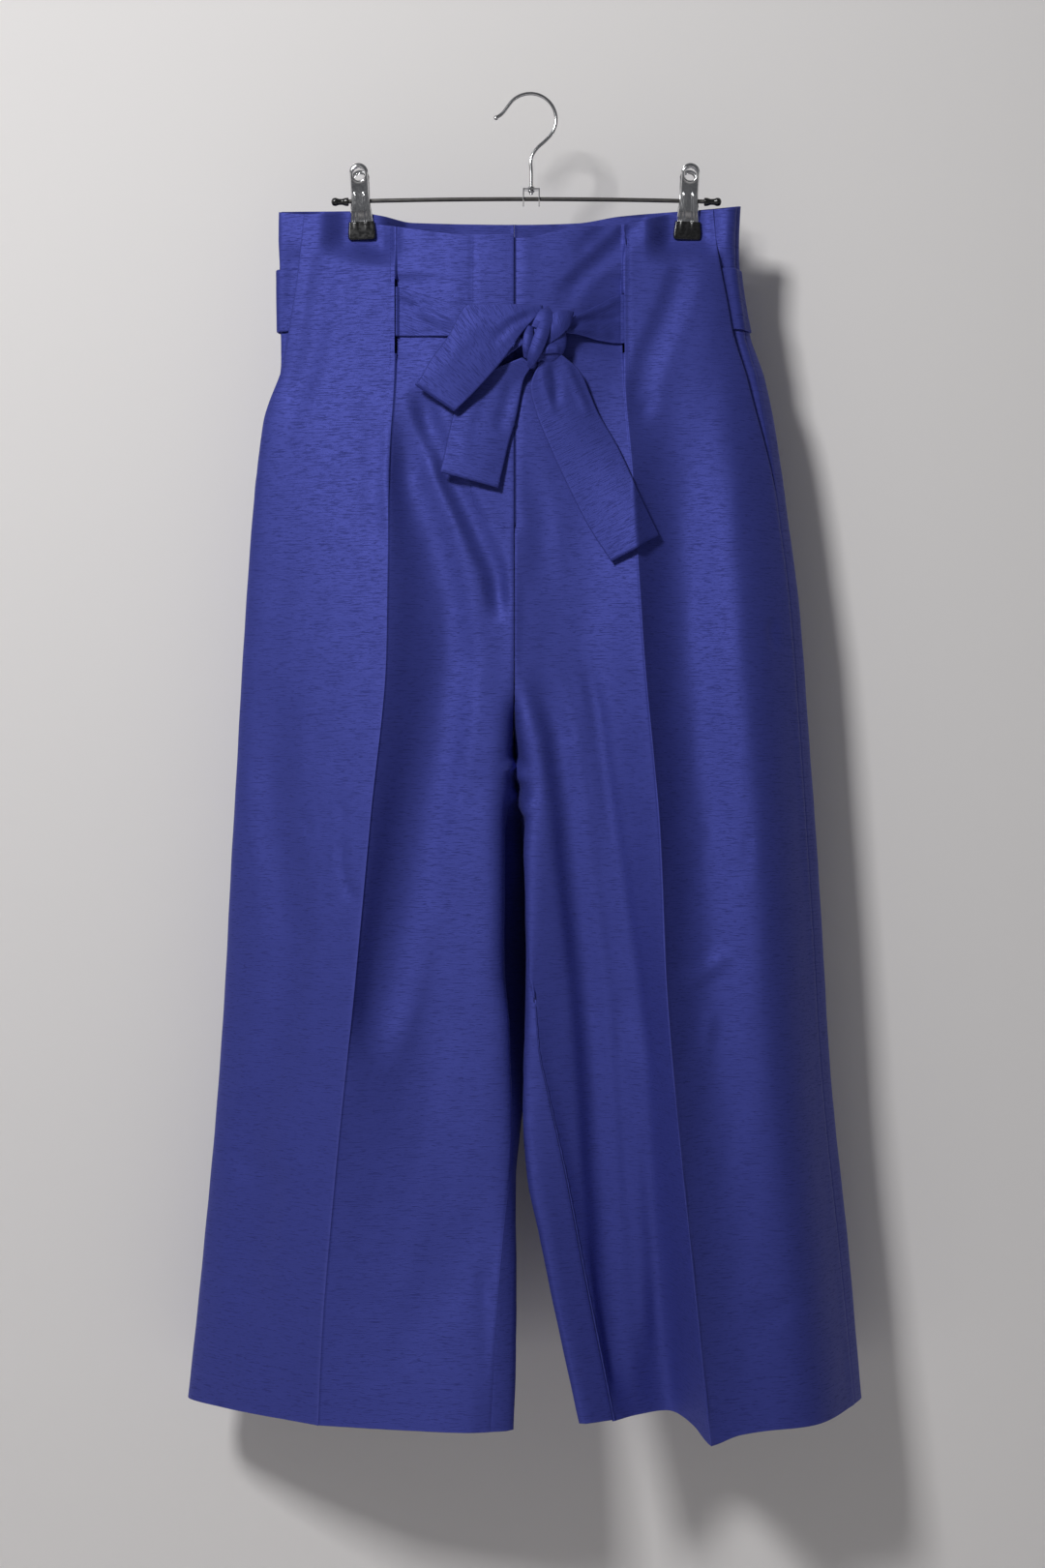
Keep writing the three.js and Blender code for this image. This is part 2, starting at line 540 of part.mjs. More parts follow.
// A point `lift` in front of the panels, from its place as seen.
function before(x, z, lift) {
  let y = -30;
  for (let k = 0; k < 3; k++) y = frontDepth(realX(x, y), realZ(z, y)) - lift;
  return new THREE.Vector3(realX(x, y), y, realZ(z, y));
}

// A length of belt in front of the panels: each row is one line across it, from edge a to edge b, with
// the lift of its outer face and a crown between its edges. `grow` makes the room that the knot leaves.
const STRIP_COLUMNS = 5;
function strip(rows, outwardSign, grow = 0) {
  const grid = rows.map(([ax, az, bx, bz, lift, crown = 0]) => {
    const row = [];
    for (let i = 0; i < STRIP_COLUMNS; i++) {
      const t = i / (STRIP_COLUMNS - 1);
      const wide = mix(-grow / 20, 1 + grow / 20, t);
      row.push(before(mix(ax, bx, wide), mix(az, bz, wide), lift + crown * Math.sin(Math.PI * t)));
    }
    return row;
  });
  if (!grow) return wall(grid, BELT_THICK, outwardSign);
  const fat = grid.map((row, j) => row.map((point, i) => {
    const left = row[Math.max(i - 1, 0)];
    const right = row[Math.min(i + 1, row.length - 1)];
    const up = grid[Math.max(j - 1, 0)][i];
    const down = grid[Math.min(j + 1, grid.length - 1)][i];
    const out = right.clone().sub(left).cross(down.clone().sub(up)).normalize();
    return point.clone().addScaledVector(out, outwardSign * grow);
  }));
  const first = fat[0].map((point, i) => {
    const on = point.clone().sub(fat[1][i]).normalize();
    return point.clone().addScaledVector(on, grow);
  });
  return wall([first, ...fat.slice(1)], BELT_THICK + 2 * grow, outwardSign);
}

// Columns: edge a (x, z), edge b (x, z), lift, crown; widths and heights as seen.
const FRONT_RIGHT = [
  [-2, -177, -2, -188, 11],
  [-9, -174, -9, -188, 9],
  [-25, -168, -25, -188, 5.5],
  [-45, -162, -45, -187, 3.4],
  [-61, -160, -61, -186.6, 2.8],
  [-82, -154, -82, -186.4, 2.4],
  [-100.5, -148.2, -100.5, -186.4, 2.2],
  [-104.6, -147.6, -104.6, -186.4, -2.4],
  [-108.5, -147.4, -108.5, -186.4, -2.4],
];
const FRONT_LEFT = [
  [29, -174, 29, -184, 12],
  [36, -171, 36, -185, 9],
  [44, -167, 44, -187, 5.5, 1.5],
  [54, -162, 54, -190, 3.2, 1],
  [71.5, -154, 71.5, -192.3, 2.2],
  [75.6, -153.5, 75.6, -192, -2.4],
  [79, -153.5, 79, -192, -2.4],
];
const TAIL_RIGHT = [
  [-5, -203, 4, -208, 11],
  [-30, -214, -3.5, -221, 5.5],
  [-50, -232, -6.5, -236, 3.4],
  [-58.5, -248, -9, -249, 3.2, 1],
  [-63, -267, -15, -270, 4, 2],
  [-66, -281, -19.5, -289, 5.4, 2],
  [-68.5, -291.5, -23, -304, 6.6, 1.5],
];
const TAIL_LEFT = [
  [9, -206, 24, -199, 13],
  [1.5, -226, 40.5, -214, 9, 1],
  [6, -246, 48, -231, 6.5, 1.5],
  [13, -264, 54, -245, 5.6, 2],
  [26, -293, 69.5, -272, 4.6, 2.5],
  [46.5, -334, 88.5, -313, 4.4, 2],
  [64, -361, 102, -341, 6, 1],
];
const LOOP = [
  [-1, -172, -1, -189, 17],
  [-11, -164, -8, -186, 17.5, 1],
  [-31, -161.5, -14, -191, 17.5, 2],
  [-45, -161, -21, -201, 16.5, 2.5],
  [-63, -187, -31.5, -218, 14.5, 2],
  [-76, -204.5, -44.3, -231.4, 12.5, 1],
  [-86, -222.5, -56, -243.5, 11.4],
  [-88, -224.5, -57.8, -245, 9.2],
  [-86, -222.2, -56, -242.6, 7],
  [-68.5, -198, -37, -223, 7.6],
  [-42, -180, -16, -202, 9],
  [-13, -178, -2, -192, 12.4],
];

function solid(geometry) {
  const bare = geometry.clone();
  for (const name of Object.keys(bare.attributes)) if (name !== "position") bare.deleteAttribute(name);
  const merged = mergeVertices(bare.index ? bare.toNonIndexed() : bare, 1e-4);
  return new wasm.Manifold(new wasm.Mesh({
    numProp: 3,
    vertProperties: merged.attributes.position.array,
    triVerts: new Uint32Array(merged.index.array),
  }));
}
function geometryOf(manifold) {
  const mesh = manifold.getMesh();
  const geometry = new THREE.BufferGeometry();
  geometry.setAttribute("position", new THREE.Float32BufferAttribute(mesh.vertProperties, 3));
  geometry.setIndex([...mesh.triVerts]);
  return geometry;
}

// The knot: a wrapped lump, cut back where the belt, the tails and the loop go into it.
const KNOT = { x: 13.5, z: -189.5, lift: 13.2, wide: 21.5, high: 24.5, deep: 10.5 };
const KNOT_GAP = 0.4; // air between the knot and the belt's ends inside it
function knot() {
  const centre = before(KNOT.x, KNOT.z, KNOT.lift);
  const geometry = new THREE.SphereGeometry(1, 18, 11);
  geometry.rotateX(Math.PI / 2);
  const p = geometry.attributes.position;
  for (let i = 0; i < p.count; i++) {
    const turn = Math.atan2(p.getZ(i), p.getX(i));
    const rise = Math.asin(THREE.MathUtils.clamp(-p.getY(i), -1, 1));
    const wrap = 1 + 0.09 * Math.cos(rise) * Math.cos(3 * turn + 2.2 * rise + 0.6);
    p.setXYZ(i, centre.x + p.getX(i) * KNOT.wide * wrap, centre.y + p.getY(i) * KNOT.deep * wrap,
      centre.z + p.getZ(i) * KNOT.high * wrap);
  }
  let body = solid(geometry);
  const into = [[FRONT_RIGHT, -1], [FRONT_LEFT, 1], [TAIL_RIGHT, -1], [TAIL_LEFT, -1], [LOOP, -1]];
  for (const [rows, sign] of into) body = body.subtract(solid(strip(rows, sign, KNOT_GAP)));
  const parts = body.decompose().sort((a, b) => b.volume() - a.volume());
  return geometryOf(parts[0]);
}
finish("belt_front_r", strip(FRONT_RIGHT, -1), COLOURS.belt, 0.5);
finish("belt_front_l", strip(FRONT_LEFT, 1), COLOURS.belt, 0.5);
finish("belt_tail_r", strip(TAIL_RIGHT, -1), COLOURS.belt, 0.5);
finish("belt_tail_l", strip(TAIL_LEFT, -1), COLOURS.belt, 0.5);
finish("belt_loop", strip(LOOP, -1), COLOURS.belt, 0.5);
finish("belt_knot", knot(), COLOURS.belt, 0.5);

// Hanger: hook, saddle, bar and end caps
const WIRE = 1.4; // radius of the hook's wire
const HOOK = { x: 1.5, radius: 20, from: 148, to: -48 };
const STEM_X = 2.3;
const BAR = { radius: 1.6, left: 147, right: -150, z: -82.6, rise: 2.2 };
const barZ = (x) => BAR.z + BAR.rise * (1 - ((x - (BAR.left + BAR.right) / 2) / 150) ** 2);

function rod(points, radius, sides, steps) {
  const shape = new THREE.Shape();
  for (let i = 0; i < sides; i++) {
    const a = (2 * Math.PI * i) / sides;
    const method = i ? "lineTo" : "moveTo";
    shape[method](radius * Math.cos(a), radius * Math.sin(a));
  }
  const extrudePath = new THREE.CatmullRomCurve3(points, false, "centripetal");
  return new THREE.ExtrudeGeometry(shape, { steps, bevelEnabled: false, extrudePath });
}
function lathe(profile, sides) {
  return new THREE.LatheGeometry(profile.map(([r, h]) => new THREE.Vector2(r, h)), sides);
}

const PLATE_TOP = -72.6;
function hook() {
  const centreZ = WIRE - HOOK.radius; // the crown's inner face is at the origin's height
  const points = [[-24.8, -17.2], [-20.6, -14.4]].map(([x, z]) => new THREE.Vector3(x, 0, z));
  for (let a = HOOK.from; a >= HOOK.to; a -= 14) {
    const turn = THREE.MathUtils.degToRad(a);
    const x = HOOK.x + HOOK.radius * Math.cos(turn);
    points.push(new THREE.Vector3(x, 0, centreZ + HOOK.radius * Math.sin(turn)));
  }
  const stem = [[5.2, -43], [STEM_X, -49], [STEM_X, -60], [STEM_X, -77]];
  points.push(...stem.map(([x, z]) => new THREE.Vector3(x, 0, z)));
  let body = solid(rod(points, WIRE, 8, 36));
  const tip = new THREE.SphereGeometry(1.9, 8, 6).translate(-25, 0, -17.4);
  const collar = lathe([[0, -0.2], [2.6, -0.2], [2.6, 1.2], [1.5, 1.8], [0, 1.8]], 16)
    .rotateX(Math.PI / 2).translate(STEM_X, 0, PLATE_TOP + 0.5);
  const head = lathe([[0, -1.2], [1.6, -1.2], [2.6, 0], [0, 0]], 16)
    .rotateX(Math.PI / 2).translate(STEM_X, 0, PLATE_TOP - 1.3);
  for (const piece of [tip, collar, head]) body = body.add(solid(piece));
  return geometryOf(body);
}

function block(width, depth, height, x, y, z) {
  return new THREE.BoxGeometry(width, depth, height).translate(x, y, z);
}
const tunnel = (radius, length, x, y, z, sides = 16) =>
  new THREE.CylinderGeometry(radius, radius, length, sides).rotateZ(Math.PI / 2).translate(x, y, z);

function saddle() {
  const sheet = 1;
  const half = 6.6;
  let body = solid(block(2 * half, 7, sheet, STEM_X, 0, PLATE_TOP - sheet / 2));
  for (const x of [STEM_X - half + sheet / 2, STEM_X + half - sheet / 2]) {
    const leg = new THREE.Shape();
    leg.moveTo(-3.5, 0);
    leg.lineTo(3.5, 0);
    leg.lineTo(3.5, -9);
    leg.lineTo(1.2, -13.5);
    leg.lineTo(-1.2, -13.5);
    leg.lineTo(-3.5, -9);
    const geometry = new THREE.ExtrudeGeometry(leg, { depth: sheet, bevelEnabled: false, steps: 1 });
    geometry.rotateX(Math.PI / 2).rotateZ(Math.PI / 2).translate(x - sheet / 2, 0, PLATE_TOP - 0.2);
    body = body.add(solid(geometry));
  }
  body = body.subtract(solid(tunnel(BAR.radius + SEAM_GAP, 30, STEM_X, 0, barZ(STEM_X))));
  const stem = new THREE.CylinderGeometry(WIRE + SEAM_GAP, WIRE + SEAM_GAP, 8, 16).rotateX(Math.PI / 2);
  body = body.subtract(solid(stem.translate(STEM_X, 0, PLATE_TOP)));
  return geometryOf(body);
}

function bar() {
  const points = [];
  for (let i = 0; i <= 8; i++) {
    const x = mix(BAR.right, BAR.left, i / 8);
    points.push(new THREE.Vector3(x, 0, barZ(x)));
  }
  return rod(points, BAR.radius, 10, 12);
}

const CAP_GAP = 0.5; // air round the bar, which bends a little inside its straight cap
function endCap(sign) {
  const bore = BAR.radius + CAP_GAP;
  const profile = [[0, 0], [1.6, 0], [2.7, 1], [3.2, 3.2], [2.4, 6], [2.3, 8], [3.1, 11], [3.2, 13.5],
    [bore, 13.5], [bore, 2.4], [0, 2.4]];
  const end = sign > 0 ? BAR.left : BAR.right;
  return lathe(profile, 16).rotateZ((sign * Math.PI) / 2).translate(end + sign * 2.7, 0, barZ(end));
}

finish("hanger_hook", hook(), COLOURS.steel, 0.15, 1);
finish("hanger_saddle", saddle(), COLOURS.steel, 0.2, 1);
finish("hanger_bar", bar(), COLOURS.bar, 0.35, 0.8);
finish("end_cap_r", endCap(-1), COLOURS.rubber, 0.4);
finish("end_cap_l", endCap(1), COLOURS.rubber, 0.4);

// One clip: two pressed plates with ears round the bar, a spring between them and a dipped jaw on each.
const CLIP = { mouth: -98.3, bottom: -112.9, sheet: 0.8, jaw: 3.2, tilt: 2.6, hole: 4.7 };
const CLIP_HOLE_Z = -63.2;
// The ears that run round the bar; the back plate's lie further in, between the front's.
const EAR = { z: -82, deep: 8.6, high: 8.4, from: 6.2, backIn: 1.1, hole: 2.6 };
const JAW_INNER = CLIP_NIP + SEAM_GAP;
const TONGUE = JAW_INNER + (CLIP.jaw + CLIP.sheet) / 2; // outer face of the plate inside its jaw
const plateY = line([[-55, 10.4], [-66, 8.6], [-76, 6.6], [-82, 6], [-90, 5], [CLIP.mouth, TONGUE],
  [-112, TONGUE]]);
const plateHalf = line([[-62, 7], [-70, 7], [-80, 7], [-92, 8.3], [-98, 9], [-108, 9]]);
function plate(x, sign) {
  const zs = [-55.2, -56.2, -58.5, -62.4, -70, -77, -80, -95, CLIP.mouth, -109];
  const across = [-1, -0.84, -0.68, -0.5, -0.3, 0.3, 0.5, 0.68, 0.84, 1];
  const round = 7.2;
  const grid = zs.map((z) => {
    const over = z + 62.4;
    const half = over > 0 ? Math.sqrt(Math.max(round ** 2 - over ** 2, 0.5)) : plateHalf(z);
    return across.map((t) => {
      const ribbed = Math.exp(-(((Math.abs(t) - 0.56) / 0.13) ** 4)) * smooth((-z - 77) / 3);
      const rib = z > CLIP.mouth ? 0.9 * ribbed : 0;
      const flange = Math.abs(t) > 0.95 && z < -64 && z > -95 ? -0.7 : 0;
      return new THREE.Vector3(x + t * half, sign * (plateY(z) + rib + flange), z);
    });
  });
  let body = solid(wall(grid, CLIP.sheet, sign));
  const hole = new THREE.CylinderGeometry(CLIP.hole, CLIP.hole, 8, 14);
  body = body.subtract(solid(hole.translate(x, sign * plateY(CLIP_HOLE_Z), CLIP_HOLE_Z)));
  const from = EAR.from - (sign < 0 ? 0 : EAR.backIn);
  const y = sign * (plateY(EAR.z) - CLIP.sheet / 2 - EAR.deep / 2);
  for (const ear of [-1, 1]) {
    body = body.add(solid(block(CLIP.sheet, EAR.deep, EAR.high, x + ear * from, y, barZ(x))));
  }
  body = body.subtract(solid(tunnel(EAR.hole, 24, x, 0, barZ(x), 10)));
  return body;
}
function jaw(x, sign) {
  const height = CLIP.mouth - CLIP.bottom;
  const outline = new THREE.Shape();
  outline.moveTo(-10, 0);
  outline.lineTo(10, 0);
  outline.lineTo(10.8, 4 - height);
  outline.quadraticCurveTo(10.9, -height, 8.2, -height);
  outline.lineTo(-8.2, -height);
  outline.quadraticCurveTo(-10.9, -height, -10.8, 4 - height);
  const deep = { depth: CLIP.jaw, bevelEnabled: false, curveSegments: 4 };
  const geometry = new THREE.ExtrudeGeometry(outline, deep);
  geometry.rotateX(Math.PI / 2).translate(x, 0, CLIP.mouth);
  geometry.translate(0, sign > 0 ? JAW_INNER + CLIP.jaw : -JAW_INNER, 0);
  const slot = block(19, CLIP.sheet + 2 * SEAM_GAP, 24, x, sign * (TONGUE - CLIP.sheet / 2), -109.4 + 12);
  return (solid(geometry)).subtract(solid(slot));
}
for (const [side, tag] of [["right", "r"], ["left", "l"]]) {
  const x = CLIP_X[side];
  const sign = LEGS[side].sign;
  const pivotZ = CLIP.bottom;
  const place = (geometry) => geometry.translate(-x, 0, -pivotZ)
    .rotateY((sign * CLIP.tilt * Math.PI) / 180).translate(x, 0, pivotZ);
  for (const [facing, where] of [[-1, "front"], [1, "back"]]) {
    finish(`clip_${tag}_${where}`, place(geometryOf(plate(x, facing))), COLOURS.steel, 0.2, 1);
    finish(`clip_${tag}_jaw_${where}`, place(geometryOf(jaw(x, facing))), COLOURS.rubber, 0.35);
  }
  const coil = lathe([[2.75, -3.6], [3.9, -3.6], [3.9, 3.6], [2.75, 3.6], [2.75, -3.6]], 14);
  coil.rotateZ(Math.PI / 2).translate(x, 0, barZ(x));
  finish(`clip_${tag}_spring`, place(coil), COLOURS.steel, 0.3, 1);
}

export default group;
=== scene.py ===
"""Looks of the paperbag trousers in blue slubbed silk on their clip hanger.

Sizes are in millimetres, as in the part's source, and become metres when a mesh is made. Sides are the
wearer's, so the right side is at -X. Places "as seen" lie in the hanger's plane, on the line from the
view point.
"""

import logging
import math
from dataclasses import dataclass, field
from enum import Enum
from typing import ClassVar

import bmesh
import bpy
import numpy as np
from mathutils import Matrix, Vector
from mathutils.bvhtree import BVHTree


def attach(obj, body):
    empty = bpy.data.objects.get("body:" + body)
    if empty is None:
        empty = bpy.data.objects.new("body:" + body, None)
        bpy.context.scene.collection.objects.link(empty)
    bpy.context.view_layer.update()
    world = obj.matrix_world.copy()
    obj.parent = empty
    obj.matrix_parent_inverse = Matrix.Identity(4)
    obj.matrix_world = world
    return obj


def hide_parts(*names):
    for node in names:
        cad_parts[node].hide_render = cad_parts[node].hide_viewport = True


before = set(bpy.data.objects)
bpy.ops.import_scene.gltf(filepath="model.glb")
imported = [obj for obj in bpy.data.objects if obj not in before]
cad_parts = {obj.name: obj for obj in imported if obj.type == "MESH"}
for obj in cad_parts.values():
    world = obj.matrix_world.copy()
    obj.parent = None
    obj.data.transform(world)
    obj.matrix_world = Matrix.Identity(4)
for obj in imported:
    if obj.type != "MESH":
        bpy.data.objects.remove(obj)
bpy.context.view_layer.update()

LOG = logging.getLogger("trousers")
MM = 0.001
CLOTH = 1.0
SEAM_GAP = 0.06
BELT_THICK = 1.6
CENTRE_X = -11.0
CROTCH_Z = -505.0
HEM_Z = -1009.0
TOP_Z = -98.0
FLY_END_Z = -338.0
POCKET_END_Z = -312.0
SLIT_TOP = -146.0
SLIT_BOTTOM = -204.0
TUCK_STEP = 5.0
PRESSED_STEP = 0.4
TUCK_FADE = 0.55
TUCK_UNDER = 1.5
TUCK_STITCH_IN = 3.4
CLIP_X = {"r": -128.5, "l": 122.8}
CLIP_NIP = 0.8
NIP_DOWN = (114.0, 136.0)
NIP_ACROSS = (12.6, 34.0)
HEM_EASE_Z = -955.0
PRESS_DOWN = (330.0, 520.0)
CRUMPLE_TOP = -500.0
CRUMPLE_REACH = 30.0
FAR = 1000.0
VIEW = np.array([-4.5, -1750.0, -533.6])


class Side(Enum):
    """A side of the wearer, with the way that X runs out to it."""

    RIGHT = -1
    LEFT = 1

    @property
    def tag(self) -> str:
        """The letter that ends the names of this side's pieces."""
        return "r" if self is Side.RIGHT else "l"


class Line:
    """A smooth line through (height, value) pairs that never overshoots them."""

    def __init__(self, *pairs: tuple[float, float]) -> None:
        """Sorts the pairs and works out the slope at each.

        Args:
            pairs: heights with the line's value there.
        """
        points = sorted(pairs)
        self.heights = np.array([p[0] for p in points], float)
        self.values = np.array([p[1] for p in points], float)
        slopes = np.diff(self.values) / np.diff(self.heights)
        inner = [0.0 if a * b <= 0 else 2 * a * b / (a + b) for a, b in zip(slopes, slopes[1:])]
        self.slopes = np.array([slopes[0], *inner, slopes[-1]])

    def __call__(self, height: np.ndarray) -> np.ndarray:
        """The line's value, kept level beyond its ends.

        Args:
            height: heights in any grid.

        Returns:
            The values, in the same grid.
        """
        z = np.clip(height, self.heights[0], self.heights[-1])
        i = np.clip(np.searchsorted(self.heights, z) - 1, 0, len(self.heights) - 2)
        span = self.heights[i + 1] - self.heights[i]
        t = (z - self.heights[i]) / span
        bend = t * t * (3 - 2 * t) * (self.values[i + 1] - self.values[i]) + self.values[i]
        return bend + span * t * (1 - t) * ((1 - t) * self.slopes[i] - t * self.slopes[i + 1])


def run_along(line: np.ndarray) -> np.ndarray:
    """Distances along a line of points, from its first."""
    return np.concatenate([[0], np.cumsum(np.linalg.norm(np.diff(line, axis=0), axis=1))])


def run_across(points: np.ndarray) -> np.ndarray:
    """Distances along each row of a grid of points, from its first."""
    steps = np.linalg.norm(np.diff(points, axis=1), axis=2)
    return np.concatenate([np.zeros((len(points), 1)), np.cumsum(steps, axis=1)], axis=1)


def smoothstep(value: np.ndarray, low: float = 0.0, high: float = 1.0) -> np.ndarray:
    """A soft step from 0 at low to 1 at high."""
    t = np.clip((value - low) / (high - low), 0, 1)
    return t * t * (3 - 2 * t)


def mix(a: np.ndarray, b: np.ndarray, share: np.ndarray) -> np.ndarray:
    """The value a share of the way from a to b."""
    return a + (b - a) * share


@dataclass
class Leg:
    """The lines down one leg: places of widths as seen, and depths."""

    side: Side
    outline: Line
    seam_in: Line
    seam_y: Line
    fold_front_y: Line
    fold_back_y: Line
    fullness: Line
    crease_x: Line
    crease_y: Line
    valley_x: Line
    valley_y: Line
    corner_x: Line
    corner_y: Line
    seam_x: Line
    inseam_y: Line
    back_corner_x: Line
    back_corner_y: Line
    back_mid_y: Line
    back_crease_x: Line
    back_crease_y: Line
    pocket_edge: Line
    slit_top: float


LEGS = {
    Side.RIGHT: Leg(
        side=Side.RIGHT,
        outline=Line((-90, -193.5), (-207, -194), (-255, -205.5), (-333, -214), (-557, -228),
                     (-721, -237), (-900, -252), (-1009, -264)),
        seam_in=Line((-90, 2), (-207, 3.5)),
        seam_y=Line((-90, 4), (-207, 10), (-1009, 11)),
        fold_front_y=Line((-90, -1), (-1009, 0)),
        fold_back_y=Line((-90, 8), (-300, 18), (-1009, 24)),
        fullness=Line((-90, 3), (-464, 6), (-1009, 7)),
        crease_x=Line((-90, -103.5), (-200, -103.5), (-300, -108), (-436, -110), (-557, -122),
                      (-680, -134), (-830, -150), (-945, -160), (-1009, -163)),
        crease_y=Line((-90, -9), (-146, -18), (-200, -22), (-330, -36), (-464, -50), (-600, -60),
                      (-800, -69), (-1009, -77)),
        valley_x=Line((-90, -62), (-464, -66), (-700, -80), (-1009, -105)),
        valley_y=Line((-90, -17), (-146, -23), (-330, -32), (-464, -38), (-600, -42), (-700, -48),
                      (-800, -60), (-1009, -88)),
        corner_x=Line((-90, -26), (-440, -21), (-494, -18), (-525, -20.5), (-563, -22.5),
                      (-672, -22.5), (-716, -17), (-800, -15), (-870, -25), (-950, -40), (-1009, -48)),
        corner_y=Line((-90, -19.5), (-146, -25), (-330, -33), (-464, -37), (-600, -46), (-800, -62),
                      (-1009, -96)),
        seam_x=Line((-505, -11), (-540, -13), (-575, -18), (-640, -19), (-700, -17), (-780, -12),
                    (-815, -12.8), (-865, -18.8), (-922, -24), (-1009, -29.3)),
        inseam_y=Line((-505, -12), (-520, -21), (-535, -28), (-548, -25), (-562, -14), (-585, -6),
                      (-620, -8), (-700, -25), (-760, -45), (-815, -60), (-922, -82), (-1009, -94)),
        back_corner_x=Line((-90, -26), (-464, -22), (-505, -13.5), (-560, -5), (-620, -1), (-700, -0.5),
                           (-770, -3), (-800, -6.5), (-830, -9.3), (-954, -9.3), (-1009, -11.3)),
        back_corner_y=Line((-90, 19), (-200, 25), (-330, 37), (-440, 38), (-505, 20), (-620, 20),
                           (-700, 8), (-785, -30), (-830, -48), (-874, -62), (-1009, -87)),
        back_mid_y=Line((-90, 19), (-200, 27), (-330, 42), (-464, 50), (-600, 46), (-800, 32),
                        (-1009, 12)),
        back_crease_x=Line((-90, -100), (-464, -108), (-700, -120), (-1009, -134)),
        back_crease_y=Line((-90, 15), (-200, 25), (-330, 42), (-464, 54), (-1009, 60)),
        pocket_edge=Line((-90, 27), (-136, 25.5), (-187, 20.5), (-213, 16), (-240, 10.5), (-280, 5),
                         (POCKET_END_Z, 0.15)),
        slit_top=SLIT_TOP,
    ),
    Side.LEFT: Leg(
        side=Side.LEFT,
        outline=Line((-90, 165), (-124, 163), (-181, 170.6), (-225, 184.5), (-269, 192.8), (-336, 202),
                     (-391, 209), (-502, 217.5), (-637, 226.5), (-740, 232.5), (-897, 247.5),
                     (-1009, 257.5)),
        seam_in=Line((-90, 2), (-140, 2), (-250, 6), (-800, 6), (-1009, 4)),
        seam_y=Line((-90, -2), (-140, -2), (-250, -10), (-1009, -18)),
        fold_front_y=Line((-90, -6), (-250, -14), (-1009, -26)),
        fold_back_y=Line((-90, 4), (-1009, 6)),
        fullness=Line((-90, 3), (-300, 8), (-464, 13), (-1009, 26)),
        crease_x=Line((-90, 74.3), (-213, 74.7), (-297, 81), (-439, 90), (-575, 102), (-680, 106.5),
                      (-783, 115.5), (-870, 125), (-973, 136.5), (-1009, 141.5)),
        crease_y=Line((-90, -13), (-146, -20), (-200, -24), (-330, -40), (-464, -56), (-600, -68),
                      (-800, -84), (-1009, -100)),
        valley_x=Line((-90, 40), (-464, 50), (-600, 62), (-700, 78), (-800, 88), (-900, 99),
                      (-1009, 110)),
        valley_y=Line((-90, -18), (-146, -24), (-330, -32), (-464, -37), (-600, -40), (-800, -42),
                      (-1009, -36)),
        corner_x=Line((-90, 3), (-440, -3), (-487, -4.2), (-519, 2.5), (-537, 5), (-554, 2.3),
                      (-590, -0.8), (-672, -0.5), (-720, 12), (-780, 27), (-850, 45), (-930, 66),
                      (-1009, 85)),
        corner_y=Line((-90, -19.5), (-146, -25), (-330, -33), (-464, -37), (-600, -45), (-780, -50),
                      (-1009, -46)),
        seam_x=Line((-505, -11), (-560, -3), (-620, 1), (-682, 3.8), (-732, 7.5), (-767, 15),
                    (-826, 28.5), (-894, 42), (-1009, 66)),
        inseam_y=Line((-505, -12), (-520, -21), (-535, -28), (-548, -25), (-562, -15), (-585, -11),
                      (-620, -22), (-682, -46), (-732, -52), (-900, -58), (-1009, -62)),
        back_corner_x=Line((-90, 3), (-464, 0), (-505, -8.5), (-560, -4), (-620, -2.5), (-672, -2.3),
                           (-780, -4.5), (-832, 0), (-871, 9), (-922, 19.5), (-974, 31.5), (-1009, 40)),
        back_corner_y=Line((-90, 19), (-200, 25), (-330, 37), (-440, 38), (-505, 20), (-560, 18),
                           (-620, -8), (-672, -38), (-780, -52), (-871, -63), (-1009, -72)),
        back_mid_y=Line((-90, 19), (-200, 27), (-330, 42), (-464, 50), (-600, 46), (-800, 30),
                        (-1009, 2)),
        back_crease_x=Line((-90, 78), (-464, 92), (-700, 108), (-1009, 128)),
        back_crease_y=Line((-90, 15), (-200, 25), (-330, 42), (-464, 54), (-1009, 60)),
        pocket_edge=Line((-90, 23), (-131, 18.5), (-183, 15.5), (-228, 12), (-271, 6.5),
                         (POCKET_END_Z, 0.15)),
        slit_top=-158.0,
    ),
}
CENTRE_FRONT_Y = Line((-90, -20), (-146, -25.5), (-330, -33.5), (-440, -37), (-464, -36), (-478, -31),
                      (-492, -22), (-505, -12))
CENTRE_BACK_Y = Line((-90, 19), (-146, 22.5), (-330, 37), (-400, 39), (-440, 35), (-464, 28),
                     (-492, 5), (-505, -12))
TUCK = Line((-90, 1.8), (-138, 1.8), (-149, TUCK_STEP), (-199, TUCK_STEP), (-212, 1.6),
            (-300, PRESSED_STEP))
FALL = Line((-215, 0), (-270, 7), (-320, 13), (-391, 17), (-516, 18), (-640, 16), (-760, 12),
            (-860, 8), (-1009, 3))
FALL_RUN = (34.0, 46.0)

